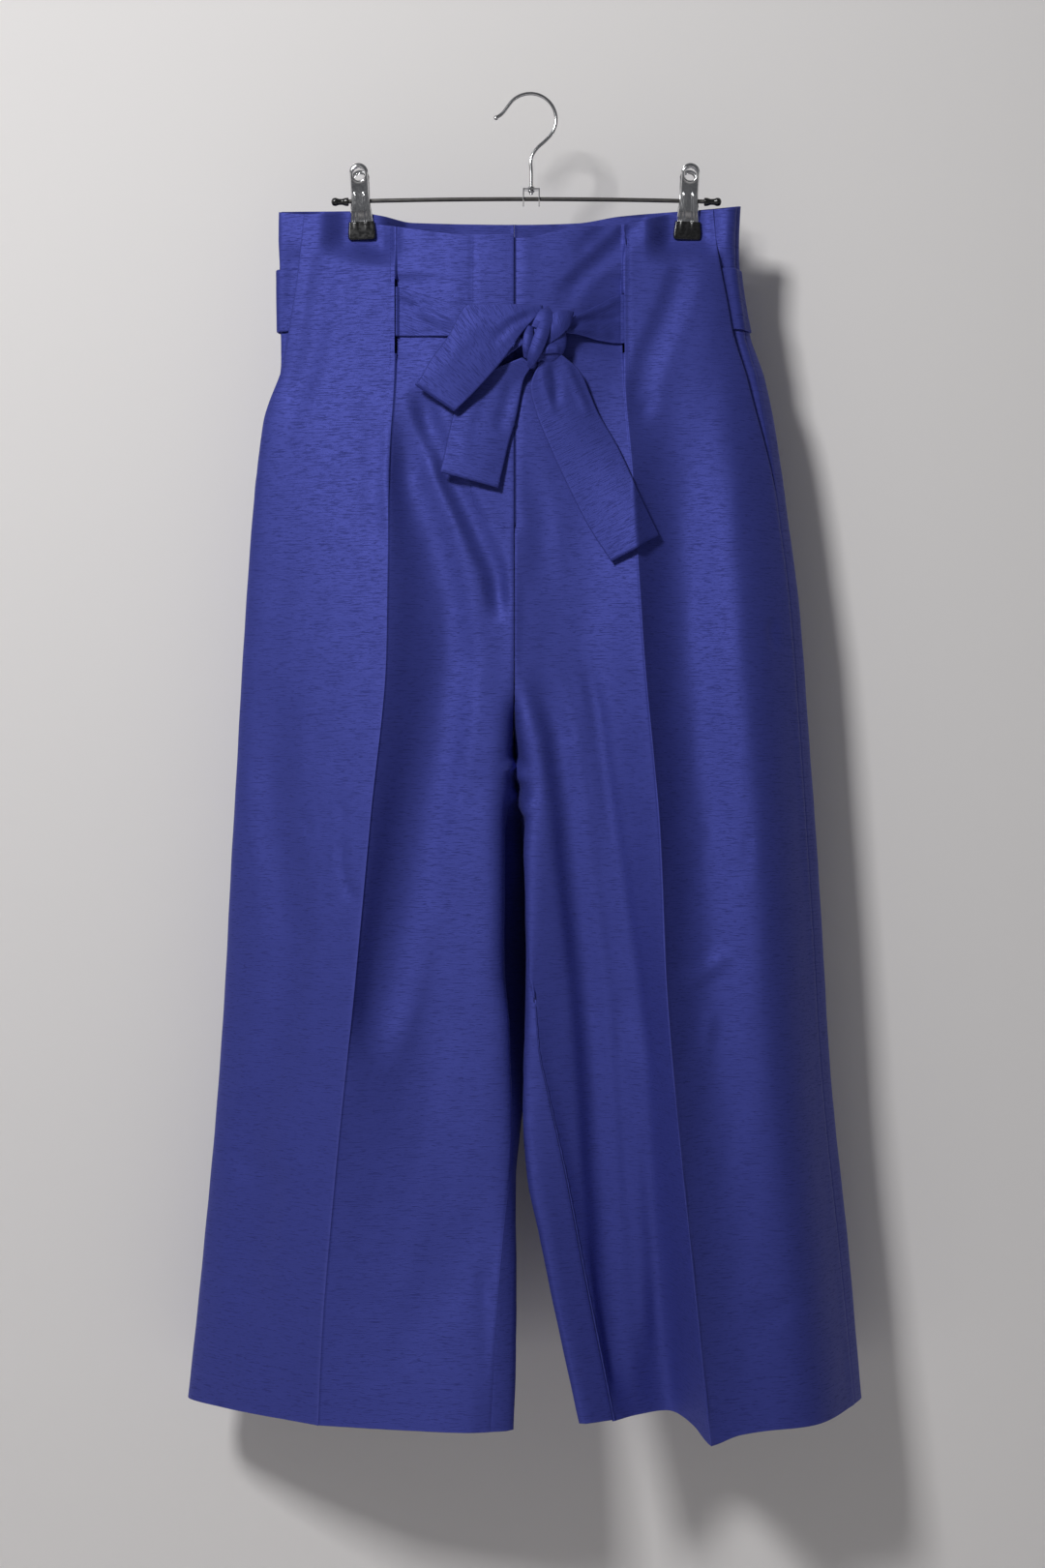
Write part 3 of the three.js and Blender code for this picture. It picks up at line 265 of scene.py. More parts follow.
TOP_FRONT = {
    Side.RIGHT: Line((-194, -90.5), (-172.5, -92), (-139.5, -90.5), (-116, -100), (-103.5, -101.5),
                     (-44, -107.5), (-11, -107.5)),
    Side.LEFT: Line((-11, -110), (-1.5, -110), (22.5, -104.6), (43, -101.6), (72, -100),
                    (103.5, -93.4), (133, -89.6), (165, -86)),
}
TOP_BACK = Line((-194, -90.5), (-139, -90), (-115, -93.4), (-90, -99), (-12, -100.5), (37, -99.4),
                (72, -94), (133, -89), (165, -86))
HEM_FRONT = {
    Side.RIGHT: Line((-300, HEM_Z), (300, HEM_Z)),
    Side.LEFT: Line((40, -1011), (66, -1010), (108, -1009), (128, -1012), (141, -1017.5), (165, -1012),
                    (200, -1009.5), (257, HEM_Z)),
}
HEM_BACK = Line((-300, HEM_Z), (300, HEM_Z))


class Curve:
    """Level curves, one for each row, read by the distance from their start."""

    SAME_PLACE = 1e-2

    def __init__(self, points: np.ndarray, steps: int = 24) -> None:
        """Runs a smooth curve through each row's points.

        Args:
            points: rows, points of a row, X and Y.
            steps: samples between two of the points.
        """
        first = 2 * points[:, :1] - points[:, 1:2]
        last = 2 * points[:, -1:] - points[:, -2:-1]
        all_points = np.concatenate([first, points, last], axis=1)
        t = np.linspace(0, 1, steps, endpoint=False)[None, :, None]
        parts = []
        for i in range(points.shape[1] - 1):
            p0, p1, p2, p3 = (all_points[:, i + k][:, None, :] for k in range(4))
            d0, d1, d2 = (np.sqrt(np.linalg.norm(b - a, axis=2, keepdims=True))
                          for a, b in ((p0, p1), (p1, p2), (p2, p3)))
            d1 = np.where(d1 < self.SAME_PLACE, 1.0, d1)
            d0 = np.where(d0 < self.SAME_PLACE, d1, d0)
            d2 = np.where(d2 < self.SAME_PLACE, d1, d2)
            m1 = ((p1 - p0) / d0 - (p2 - p0) / (d0 + d1) + (p2 - p1) / d1) * d1
            m2 = ((p2 - p1) / d1 - (p3 - p1) / (d1 + d2) + (p3 - p2) / d2) * d1
            parts.append(p1 + m1 * t + (3 * (p2 - p1) - 2 * m1 - m2) * t**2
                         + (2 * (p1 - p2) + m1 + m2) * t**3)
        parts.append(points[:, -1:])
        self.samples = np.concatenate(parts, axis=1)
        self.run = run_across(self.samples)
        way = np.gradient(self.samples, axis=1)
        self.way = way / np.linalg.norm(way, axis=2, keepdims=True)
        self.length = self.run[:, -1:]

    def at(self, distance: np.ndarray) -> tuple[np.ndarray, np.ndarray]:
        """Points of each row's curve, with the curve's own way there.

        Args:
            distance: rows and distances from the start.

        Returns:
            The points and the unit ways, both by row, distance, X and Y.
        """
        place = np.empty((*distance.shape, 2))
        way = np.empty_like(place)
        for j, row in enumerate(distance):
            for axis in (0, 1):
                place[j, :, axis] = np.interp(row, self.run[j], self.samples[j, :, axis])
                way[j, :, axis] = np.interp(row, self.run[j], self.way[j, :, axis])
        return place, way / np.linalg.norm(way, axis=2, keepdims=True)


def real_x(seen: np.ndarray, y: np.ndarray) -> np.ndarray:
    """The real place across of a point seen in the hanger's plane and lying at depth y."""
    return VIEW[0] + (seen - VIEW[0]) * (1 - y / VIEW[1])


def real_z(seen: np.ndarray, y: np.ndarray) -> np.ndarray:
    """The real height of a point seen in the hanger's plane and lying at depth y."""
    return VIEW[2] + (seen - VIEW[2]) * (1 - y / VIEW[1])


def seen_x(points: np.ndarray) -> np.ndarray:
    """Where points are seen across, in the hanger's plane."""
    return VIEW[0] + (points[..., 0] - VIEW[0]) / (1 - points[..., 1] / VIEW[1])


def seen_z(points: np.ndarray) -> np.ndarray:
    """How high points are seen, in the hanger's plane."""
    return VIEW[2] + (points[..., 2] - VIEW[2]) / (1 - points[..., 1] / VIEW[1])


def level_places(seen: np.ndarray, y: np.ndarray) -> np.ndarray:
    """The real X and Y of places given by their width as seen and their depth."""
    return np.stack([real_x(seen, y), y], axis=-1)


def nip(points: np.ndarray, front: bool) -> np.ndarray:
    """Draws the front or the back in where a clip holds it.

    Args:
        points: rows, points, X, Y and Z; they are changed in place.
        front: whether the points are the front's.

    Returns:
        The same points.
    """
    target = -CLIP_NIP if front else CLIP_NIP
    down = 1 - smoothstep(-points[..., 2], *NIP_DOWN)
    for x in CLIP_X.values():
        across = 1 - smoothstep(np.abs(points[..., 0] - x), *NIP_ACROSS)
        points[..., 1] = mix(points[..., 1], target, across * down)
    return points


class Cut:
    """The four level curves of one leg at a set of heights."""

    FOLD_IN = 3.5
    FOLD_OUT = 10.0
    HIP_SHARE = 0.3
    SEAT_SHARE = 0.32
    SEAT_DEPTH_SHARE = 0.4
    SEAT_OUT = 4.0
    BACK_MID_SHARE = 0.55

    def __init__(self, side: Side, z: np.ndarray) -> None:
        """Makes the curves.

        Args:
            side: the wearer's side.
            z: the heights.
        """
        leg = LEGS[side]
        self.leg, self.side, self.z = leg, side, z
        sign = side.value
        above = (z > CROTCH_Z)[:, None]
        edge = leg.outline(z)
        seam = level_places(edge - sign * leg.seam_in(z), leg.seam_y(z))
        crease = level_places(leg.crease_x(z), leg.crease_y(z))
        back_crease = level_places(leg.back_crease_x(z), leg.back_crease_y(z))
        inseam = level_places(leg.seam_x(z), leg.inseam_y(z))
        centre = np.full_like(z, CENTRE_X)
        front_end = np.where(above, np.stack([centre, CENTRE_FRONT_Y(z)], -1), inseam)
        back_end = np.where(above, np.stack([centre, CENTRE_BACK_Y(z)], -1), inseam)
        front_edge = edge - self.FOLD_IN - leg.seam_in(z) if side is Side.LEFT else edge
        back_edge = edge if side is Side.LEFT else edge + self.FOLD_OUT
        fold_front = level_places(front_edge, leg.fold_front_y(z))
        fold_back = level_places(back_edge, leg.fold_back_y(z))
        hip = level_places(mix(edge, leg.crease_x(z), self.HIP_SHARE),
                           mix(fold_front[:, 1], crease[:, 1], self.HIP_SHARE) - leg.fullness(z))
        seat_y = mix(fold_back[:, 1], back_crease[:, 1], self.SEAT_DEPTH_SHARE) + self.SEAT_OUT
        seat = level_places(mix(edge, leg.back_crease_x(z), self.SEAT_SHARE), seat_y)
        valley = level_places(leg.valley_x(z), leg.valley_y(z))
        corner = level_places(leg.corner_x(z), leg.corner_y(z))
        back_mid_x = mix(leg.back_crease_x(z), leg.back_corner_x(z), self.BACK_MID_SHARE)
        back_mid = level_places(back_mid_x, leg.back_mid_y(z))
        back_corner = level_places(leg.back_corner_x(z), leg.back_corner_y(z))
        self.outer_front = Curve(np.stack([seam, fold_front, hip, crease], axis=1))
        self.inner_front = Curve(np.stack([crease, valley, corner, front_end], axis=1))
        self.outer_back = Curve(np.stack([seam, fold_back, seat, back_crease], axis=1))
        self.inner_back = Curve(np.stack([back_crease, back_mid, back_corner, back_end], axis=1))

    def surface(self, curve: Curve, distance: np.ndarray, sink: np.ndarray, front: bool) -> np.ndarray:
        """Points of the cloth's outer face.

        Args:
            curve: one of this cut's curves.
            distance: rows and distances from the curve's start.
            sink: how far inside the outer face each point lies.
            front: whether the curve is one of the front's.

        Returns:
            Rows, points, X, Y and Z.
        """
        place, way = curve.at(distance)
        inside = -self.side.value if front else self.side.value
        inward = np.stack([-way[..., 1], way[..., 0]], -1) * inside
        z = np.broadcast_to(self.z[:, None, None], (*distance.shape, 1))
        points = nip(np.concatenate([place, z], axis=2), front)
        points[..., :2] += inward * np.asarray(sink)[..., None]
        return points

    def front_outer(self, distance: np.ndarray, sink: np.ndarray | float = 0.0) -> np.ndarray:
        """The front from the side seam to the crease; the left leg's falls back beside its crease.

        Args:
            distance: rows and distances from the side seam.
            sink: how far inside the outer face each point lies.

        Returns:
            Rows, points, X, Y and Z.
        """
        if self.side is Side.LEFT:
            down, up = FALL_RUN
            near = self.outer_front.length - distance
            fall = np.where(near < down, np.sin(np.clip(near / down, 0, 1) * math.pi / 2),
                            1 - smoothstep(near, down, down + up))
            sink = sink + FALL(self.z)[:, None] * fall
        return self.surface(self.outer_front, distance, np.broadcast_to(sink, distance.shape), True)

    def front_inner(self, share: np.ndarray, sink: np.ndarray | float = 0.0) -> np.ndarray:
        """The front from the crease to the centre or the inseam, lying under the tuck's fold.

        Args:
            share: rows and shares of the way.
            sink: how far inside the outer face each point lies.

        Returns:
            Rows, points, X, Y and Z.
        """
        length = self.inner_front.length - SEAM_GAP / 2
        step = TUCK(self.z)[:, None] * (1 - smoothstep(share / TUCK_FADE))
        return self.surface(self.inner_front, mix(TUCK_UNDER, length, share), step + sink, True)

    def back_outer(self, distance: np.ndarray, sink: np.ndarray | float = 0.0) -> np.ndarray:
        """The back from the side seam to the crease, by distance."""
        return self.surface(self.outer_back, distance, np.broadcast_to(sink, distance.shape), False)

    def back_inner(self, share: np.ndarray, sink: np.ndarray | float = 0.0) -> np.ndarray:
        """The back from the crease to the centre or the inseam, by share of the way."""
        length = self.inner_back.length - SEAM_GAP / 2
        return self.surface(self.inner_back, share * length, np.broadcast_to(sink, share.shape), False)


EDGE_STEPS = (0.0, 0.5, 1.2, 2.2, 3.6, 5.4)


def spread(start: np.ndarray, end: np.ndarray, count: int) -> np.ndarray:
    """Distances from start to end in each row, close together at both ends.

    Args:
        start: each row's first distance, as one column.
        end: each row's last distance, as one column.
        count: distances between the close ones.

    Returns:
        Rows and distances.
    """
    near = np.array(EDGE_STEPS)[None, :]
    low, high = start + near, end - near[:, ::-1]
    share = np.linspace(0, 1, count + 2)[None, 1:-1]
    return np.concatenate([low, mix(low[:, -1:], high[:, :1], share), high], axis=1)


def panel_heights(top_z: float, bottom_z: float, keys: tuple[float, ...],
                  step: float = 4.2) -> np.ndarray:
    """Heights down a panel, close together at its ends.

    Args:
        top_z: the first height.
        bottom_z: the last height.
        keys: heights that are met exactly where they lie between the two.
        step: the largest step.

    Returns:
        The heights, from the top down.
    """
    stops = [top_z, *[k for k in keys if bottom_z < k < top_z], bottom_z]
    found = [top_z - e for e in EDGE_STEPS] + [bottom_z + e for e in EDGE_STEPS]
    for high, low in zip(stops, stops[1:]):
        found.extend(np.linspace(high, low, max(2, int((high - low) / step) + 2)))
    return np.array(sorted({round(z, 2) for z in found}, reverse=True))


KEY_HEIGHTS = (-114.0, -136.0, SLIT_TOP, -158.0, SLIT_BOTTOM, POCKET_END_Z, FLY_END_Z, -464.0,
               -492.0, CROTCH_Z, -525.0)


def near_top(z: np.ndarray) -> np.ndarray:
    """How much each row follows the top edge, as one column: 1 there and 0 from the slit down."""
    return np.clip((z[:, None] - SLIT_TOP) / (TOP_Z - SLIT_TOP), 0, 1)


def stretch_ends(points: np.ndarray, z: np.ndarray, top: np.ndarray, hem: np.ndarray) -> np.ndarray:
    """Moves the first and last rows to the panel's own top edge and hem, and eases the rows near them.

    Args:
        points: rows, points, X, Y and Z; they are changed in place.
        z: each row's height before.
        top: the top edge's height over each point.
        hem: the hem's height under each point.

    Returns:
        The same points.
    """
    near_hem = np.clip((z[:, None] - HEM_EASE_Z) / (HEM_Z - HEM_EASE_Z), 0, 1)
    points[..., 2] += near_top(z) * (top - TOP_Z) + near_hem * (hem - HEM_Z)
    return points


def near_or_far(shape: tuple[int, int], *given: tuple[slice, np.ndarray]) -> np.ndarray:
    """A grid of distances, far but for some of its columns.

    Args:
        shape: the grid's rows and columns.
        given: pairs of the columns and the distances there.

    Returns:
        The distances.
    """
    found = np.full(shape, FAR)
    for columns, distances in given:
        found[:, columns] = distances
    return found


def bump_at(distance: np.ndarray, reach: float) -> np.ndarray:
    """A bell of 1 at no distance that falls off with its reach."""
    return np.exp(-((distance / reach) ** 2))


class Form(Enum):
    """How a fold's section runs."""

    TROUGH = -1
    RIDGE = 1


@dataclass(frozen=True)
class Fold:
    """A soft fold along a path as seen: its depth, its reach to each side, and how its ends run out.

    A point of the path is x and z, and may add the fold's own reach to the left and to the right there.
    """

    path: tuple[tuple[float, ...], ...]
    depth: float
    before: float
    after: float
    taper: float = 30.0
    form: Form = Form.TROUGH

    def lift(self, x: np.ndarray, z: np.ndarray) -> np.ndarray:
        """How far the cloth stands out along its normal.

        Args:
            x: the places across, as seen.
            z: the heights, as seen.

        Returns:
            Millimetres at each place.
        """
        line = np.array([p[:2] for p in self.path], float)
        reaches = np.array([p[2:] or (self.before, self.after) for p in self.path], float)
        run = run_along(line)
        best = np.full(x.shape, np.inf)
        side = np.zeros(x.shape)
        along = np.zeros(x.shape)
        for (ax, az), (bx, bz), s0, s1 in zip(line, line[1:], run, run[1:]):
            dx, dz = bx - ax, bz - az
            t = np.clip(((x - ax) * dx + (z - az) * dz) / (dx * dx + dz * dz), 0, 1)
            away = np.hypot(x - ax - t * dx, z - az - t * dz)
            nearer = away < best
            best = np.where(nearer, away, best)
            side = np.where(nearer, (x - ax) * dz - (z - az) * dx, side)
            along = np.where(nearer, mix(s0, s1, t), along)
        reach = np.where(side > 0, np.interp(along, run, reaches[:, 0]),
                         np.interp(along, run, reaches[:, 1]))
        profile = np.clip(1 - (best / reach) ** 2, 0, 1) ** 2
        ends = smoothstep(along, -1, self.taper) * smoothstep(run[-1] - along, -1, self.taper)
        return self.form.value * self.depth * profile * ends


FRONT_FOLDS = (
    # The wearer's right leg: from the clip to the pocket, down the outside, and by the crease.
    Fold(((-157, -104), (-159, -135), (-163, -160), (-166, -190), (-171, -210), (-181, -232),
          (-191, -250)), 2.2, 13, 18),
    Fold(((-187, -440), (-196, -481), (-199, -526), (-197, -564), (-191, -601), (-187, -650),
          (-192, -706), (-201, -770), (-213, -800), (-216, -826), (-207, -845), (-217, -900),
          (-222, -990)), 3.6, 22, 26, 90),
    Fold(((-118, -226), (-120, -264), (-121, -316), (-117, -370)), 1.6, 14, 12, 50),
    Fold(((-88, -222), (-77, -256), (-62, -293), (-42, -335), (-27, -369), (-20, -410)), 5.5, 12, 15, 26),
    Fold(((-97, -236, 12, 22), (-93, -300, 20, 24), (-77, -346, 34, 26), (-66, -391, 48, 26),
          (-64, -436, 50, 30), (-74, -496, 46, 34), (-88, -557, 38, 36), (-100, -617, 32, 36),
          (-113, -680, 24, 34), (-128, -760, 18, 26)), 9.0, 16, 26, 60),
    Fold(((-48, -860), (-68, -924), (-84, -950), (-95, -1000)), 1.3, 30, 26, 60),
    Fold(((-143, -572), (-146, -590), (-144, -605), (-138, -620), (-130, -626)), 1.6, 3.2, 4.6, 10),
    Fold(((-145, -546), (-143, -566)), 1.0, 3.5, 3.5, 8),
    Fold(((-177, -552), (-168, -577)), 1.2, 5, 5, 12),
    Fold(((-42.8, -108), (-43, -200), (-44.5, -270), (-45, -300), (-44.3, -309), (-40.5, -320),
          (-32.3, -329), (-21, -333.4)), 0.55, 3.6, 3.6, 4),
    Fold(((-188, -551), (-192, -564)), 0.5, 3, 3, 8),
    Fold(((-40, -900), (-28, -940), (-30, -1000)), 1.6, 12, 12, 30),
    # The wearer's left leg: from the knot to the clip, below the clip, and down from the crotch.
    Fold(((94, -92), (70, -114), (42, -139), (22, -160)), 3.0, 10, 12, 22),
    Fold(((66, -96), (48, -112), (34, -124)), 1.2, 8, 8, 14),
    Fold(((122, -118), (118, -140), (108, -168), (93, -200), (86, -226), (88, -262)), 2.2, 13, 18),
    Fold(((100, -232), (84, -250)), 1.0, 7, 7, 10),
    Fold(((4, -440), (22, -496), (30, -557), (36, -617), (43, -676), (49, -744), (54, -826), (60, -901),
          (65, -976), (71, -1024)), 6.5, 15, 17, 50),
    Fold(((42, -430), (53, -477), (61, -537), (70, -597), (76, -637), (84, -690), (94, -770)),
         2.2, 9, 9, 40),
    Fold(((80, -700), (84, -790), (88, -900), (91, -1000)), 3.0, 12, 12, 60, Form.RIDGE),
    Fold(((118, -690), (136, -682), (154, -668), (158, -661)), 2.0, 6, 12, 18, Form.RIDGE),
    Fold(((137, -740), (141, -722), (143, -706)), 1.2, 6, 8, 12, Form.RIDGE),
    Fold(((170, -568), (169, -590), (171, -609)), 1.5, 3.4, 3.8, 9),
    Fold(((191, -404), (188, -416), (192, -430)), 1.6, 5, 6, 8),
    Fold(((120, -560), (133, -572), (140, -566)), 1.0, 6, 5, 10, Form.RIDGE),
    Fold(((210, -930), (190, -945), (172, -938)), 1.8, 12, 12, 16),
    Fold(((-3, -270), (10, -330), (14, -400)), 1.2, 16, 14, 40),
)
BACK_FOLDS = (
    Fold(((-150, -200), (-140, -280), (-125, -360), (-112, -420)), 3.0, 16, 18, 50),
    Fold(((130, -205), (122, -290), (104, -370), (92, -430)), 3.2, 16, 18, 50),
    Fold(((-40, -470), (-66, -540), (-84, -640), (-92, -760), (-98, -900)), 5.0, 22, 24, 90),
    Fold(((24, -470), (50, -545), (66, -650), (78, -770), (90, -900)), 5.0, 22, 24, 90),
    Fold(((-170, -500), (-182, -620), (-190, -760), (-205, -930)), 3.4, 22, 22, 100),
    Fold(((160, -480), (176, -620), (190, -780), (206, -930)), 3.4, 22, 22, 100),
    Fold(((-60, -230), (-48, -300), (-30, -360)), 2.0, 16, 14, 40),
    Fold(((42, -225), (30, -300), (14, -370)), 2.2, 16, 14, 40),
    Fold(((-120, -585), (-108, -600), (-96, -592)), 1.2, 6, 6, 12),
    Fold(((118, -610), (130, -628), (146, -620)), 1.2, 6, 6, 12),
)
CROTCH_CRUMPLE = (
    Fold(((-20, -519), (-11, -522), (-1, -531)), 4.0, 6, 9, 4, Form.RIDGE),
    Fold(((-15, -541), (-8, -546), (1, -558)), 3.0, 5, 8, 5, Form.RIDGE),
)


def settle(x: np.ndarray, z: np.ndarray) -> np.ndarray:
    """The slight unevenness of hanging cloth, in millimetres along its normal."""
    drape = 0.42 * np.sin(x / 17.0 + 1.3 * np.sin(z / 140.0)) * np.sin(z / 96.0 + x / 60.0)
    small = 0.16 * np.sin(x / 6.3 + z / 31.0) * np.sin(z / 11.0 - x / 13.0)
    return drape + small


def normals(points: np.ndarray, sign: float) -> np.ndarray:
    """Unit normals of a grid of points.

    Args:
        points: rows, points, X, Y and Z.
        sign: 1 or -1, whichever turns them outwards.

    Returns:
        A normal for each point.
    """
    across = np.gradient(points, axis=1)
    down = np.gradient(points, axis=0)
    out = np.cross(across, down)
    return sign * out / np.maximum(np.linalg.norm(out, axis=2, keepdims=True), 1e-9)


def deselect() -> None:
    """Leaves nothing selected or active."""
    bpy.ops.object.select_all(action="DESELECT")
    bpy.context.view_layer.objects.active = None


def new_object(name: str, data: bpy.types.ID) -> bpy.types.Object:
    """A new object in the scene."""
    made = bpy.data.objects.new(name, data)
    bpy.context.scene.collection.objects.link(made)
    return made


def mesh_object(name: str, points: np.ndarray, faces: list, smooth: bool = True) -> bpy.types.Object:
    """A new mesh object.

    Args:
        name: the object's name.
        points: X, Y and Z in millimetres.
        faces: the point numbers round each face.
        smooth: whether the faces are shaded smooth.

    Returns:
        The object.
    """
    mesh = bpy.data.meshes.new(name)
    mesh.from_pydata((points * MM).tolist(), [], faces)
    mesh.validate()
    if smooth:
        mesh.polygons.foreach_set("use_smooth", [True] * len(mesh.polygons))
    return new_object(name, mesh)


def apply_all(made: bpy.types.Object) -> bpy.types.Object:
    """Applies every modifier of an object.

    Args:
        made: the object.

    Returns:
        The same object.
    """
    deselect()
    made.select_set(True)
    bpy.context.view_layer.objects.active = made
    for modifier in list(made.modifiers):
        bpy.ops.object.modifier_apply(modifier=modifier.name)
    return made


def join(made: bpy.types.Object, others: list[bpy.types.Object]) -> bpy.types.Object:
    """Joins other objects into one.

    Args:
        made: the object that stays.
        others: the objects that go into it.

    Returns:
        The first object.
    """
    deselect()
    for piece in (*others, made):
        piece.select_set(True)
    bpy.context.view_layer.objects.active = made
    bpy.ops.object.join()
    return made


def resized(size: Vector) -> bpy.types.Object:
    """The unit primitive that was just added, with its size in millimetres and its place applied.

    Args:
        size: its size, or its half sizes where its radius is 1.

    Returns:
        The object.
    """
    made = bpy.context.object
    made.scale = size * MM
    bpy.ops.object.transform_apply(location=True, rotation=True, scale=True)
    return made


def box(place: Vector, size: Vector) -> bpy.types.Object:
    """A box with its middle at a place, in millimetres."""
    deselect()
    bpy.ops.mesh.primitive_cube_add(size=1, location=place * MM)
    return resized(size)


def ball(place: Vector, radii: Vector, segments: int = 32, rings: int = 20) -> bpy.types.Object:
    """A smooth ball, round or flattened, in millimetres.

    Args:
        place: the ball's middle.
        radii: its half sizes along X, Y and Z.
        segments: faces round it.
        rings: faces from pole to pole.

    Returns:
        The object.
    """
    deselect()
    bpy.ops.mesh.primitive_uv_sphere_add(segments=segments, ring_count=rings, radius=1.0,
                                         location=place * MM)
    made = resized(radii)
    bpy.ops.object.shade_smooth()
    return made


def facing_out(made: bpy.types.Object, merge: float = 0.0) -> bpy.types.Object:
    """Turns a closed mesh's faces outwards.

    Args:
        made: the object.
        merge: points that lie closer than this, in metres, become one first.

    Returns:
        The same object.
    """
    bm = bmesh.new()
    bm.from_mesh(made.data)
    if merge > 0:
        bmesh.ops.remove_doubles(bm, verts=bm.verts, dist=merge)
    bmesh.ops.recalc_face_normals(bm, faces=bm.faces)
    bm.to_mesh(made.data)
    bm.free()
    return made


def grid_faces(kept: np.ndarray) -> np.ndarray:
    """The four corners of each kept cell of a grid, with its points counted along the rows.

    Args:
        kept: rows and columns of cells.

    Returns:
        Four point numbers for each cell.
    """
    j, i = np.nonzero(kept)
    width = kept.shape[1] + 1
    a = j * width + i
    return np.stack([a, a + 1, a + width + 1, a + width], 1)


def grain_map(mesh: bpy.types.Mesh, u: np.ndarray, v: np.ndarray) -> None:
    """Writes a UV map that follows the cloth's grain.

    Args:
        mesh: the mesh to write to.
        u: each point's place across the grain, in metres.
        v: each point's place along it.
    """
    layer = mesh.uv_layers.new(name="grain")
    corner = np.empty(len(mesh.loops), np.int32)
    mesh.loops.foreach_get("vertex_index", corner)
    layer.data.foreach_set("uv", np.stack([u[corner], v[corner]], 1).astype(np.float32).ravel())


def shade_map(mesh: bpy.types.Mesh, name: str, values: np.ndarray) -> None:
    """Writes one number for each point of a mesh, for its material to read."""
    mesh.attributes.new(name, "FLOAT", "POINT").data.foreach_set("value", values.astype(np.float32))


class Sheet:
    """A wall of cloth through a grid of points on its outer face."""

    def __init__(self, points: np.ndarray, sign: float, thick: float = CLOTH) -> None:
        """Keeps the grid and starts with no holes and no painted highlight.

        Args:
            points: rows, points, X, Y and Z.
            sign: the way out of the grid.
            thick: the wall's thickness.
        """
        self.points = points
        self.sign = sign
        self.thick = thick
        rows, columns = points.shape[:2]
        self.open = np.zeros((rows - 1, columns - 1), bool)
        self.painted_highlight = np.zeros((rows, columns))

    def move(self, amount: np.ndarray) -> None:
        """Moves the grid out along its normals."""
        self.points = self.points + normals(self.points, self.sign) * amount[..., None]

    def build(self, name: str) -> bpy.types.Object:
        """Makes the closed wall, with its grain map.

        Args:
            name: the object's name.

        Returns:
            The object.
        """
        out = normals(self.points, self.sign)
        half = self.points.shape[0] * self.points.shape[1]
        inside = self.points - out * self.thick
        both = np.concatenate([self.points.reshape(-1, 3), inside.reshape(-1, 3)])
        kept = ~self.open
        turn = -1 if self.sign < 0 else 1
        quads = grid_faces(kept)[:, ::turn]
        faces: list[tuple[int, ...]] = [*map(tuple, quads.tolist())]
        faces.extend(map(tuple, (quads[:, ::-1] + half).tolist()))
        padded = np.pad(kept, 1)
        for dj, di, c0, c1 in ((-1, 0, 0, 1), (0, 1, 1, 2), (1, 0, 2, 3), (0, -1, 3, 0)):
            beside = padded[1 + dj:1 + dj + kept.shape[0], 1 + di:1 + di + kept.shape[1]]
            corners = grid_faces(kept & ~beside)
            start, end = corners[:, c0], corners[:, c1]
            ring = np.stack([end, start, start + half, end + half], 1)[:, ::turn]
            faces.extend(map(tuple, ring.tolist()))
        made = mesh_object(name, both, faces)
        u = run_across(self.points).ravel()
        grain_map(made.data, np.tile(u * MM, 2), both[:, 2] * MM)
        # How strongly a paler colour is painted at each point as a highlight, for the material to read.
        shade_map(made.data, "painted_highlight", np.tile(self.painted_highlight.ravel(), 2))
        bm = bmesh.new()
        bm.from_mesh(made.data)
        loose = [v for v in bm.verts if not v.link_faces]
        bmesh.ops.delete(bm, geom=loose, context="VERTS")
        bm.to_mesh(made.data)
        bm.free()
        return made

    def area(self) -> float:
        """The outer face's area in square metres.

        Returns:
            The area without the holes.
        """
        a = self.points[:-1, :-1] - self.points[1:, 1:]
        b = self.points[1:, :-1] - self.points[:-1, 1:]
        each = np.linalg.norm(np.cross(a, b), axis=2) / 2
        return float((each * ~self.open).sum()) * MM * MM


def seam_pull(distance: np.ndarray, z: np.ndarray) -> np.ndarray:
    """How far a seam draws the cloth in beside it, with small puckers along it."""
    valley = 0.55 * bump_at(distance, 1.3)
    pucker = 0.16 * bump_at(distance, 4.5) * np.sin(z / 2.1 + 1.7 * np.sin(z / 23.0))
    return valley + pucker


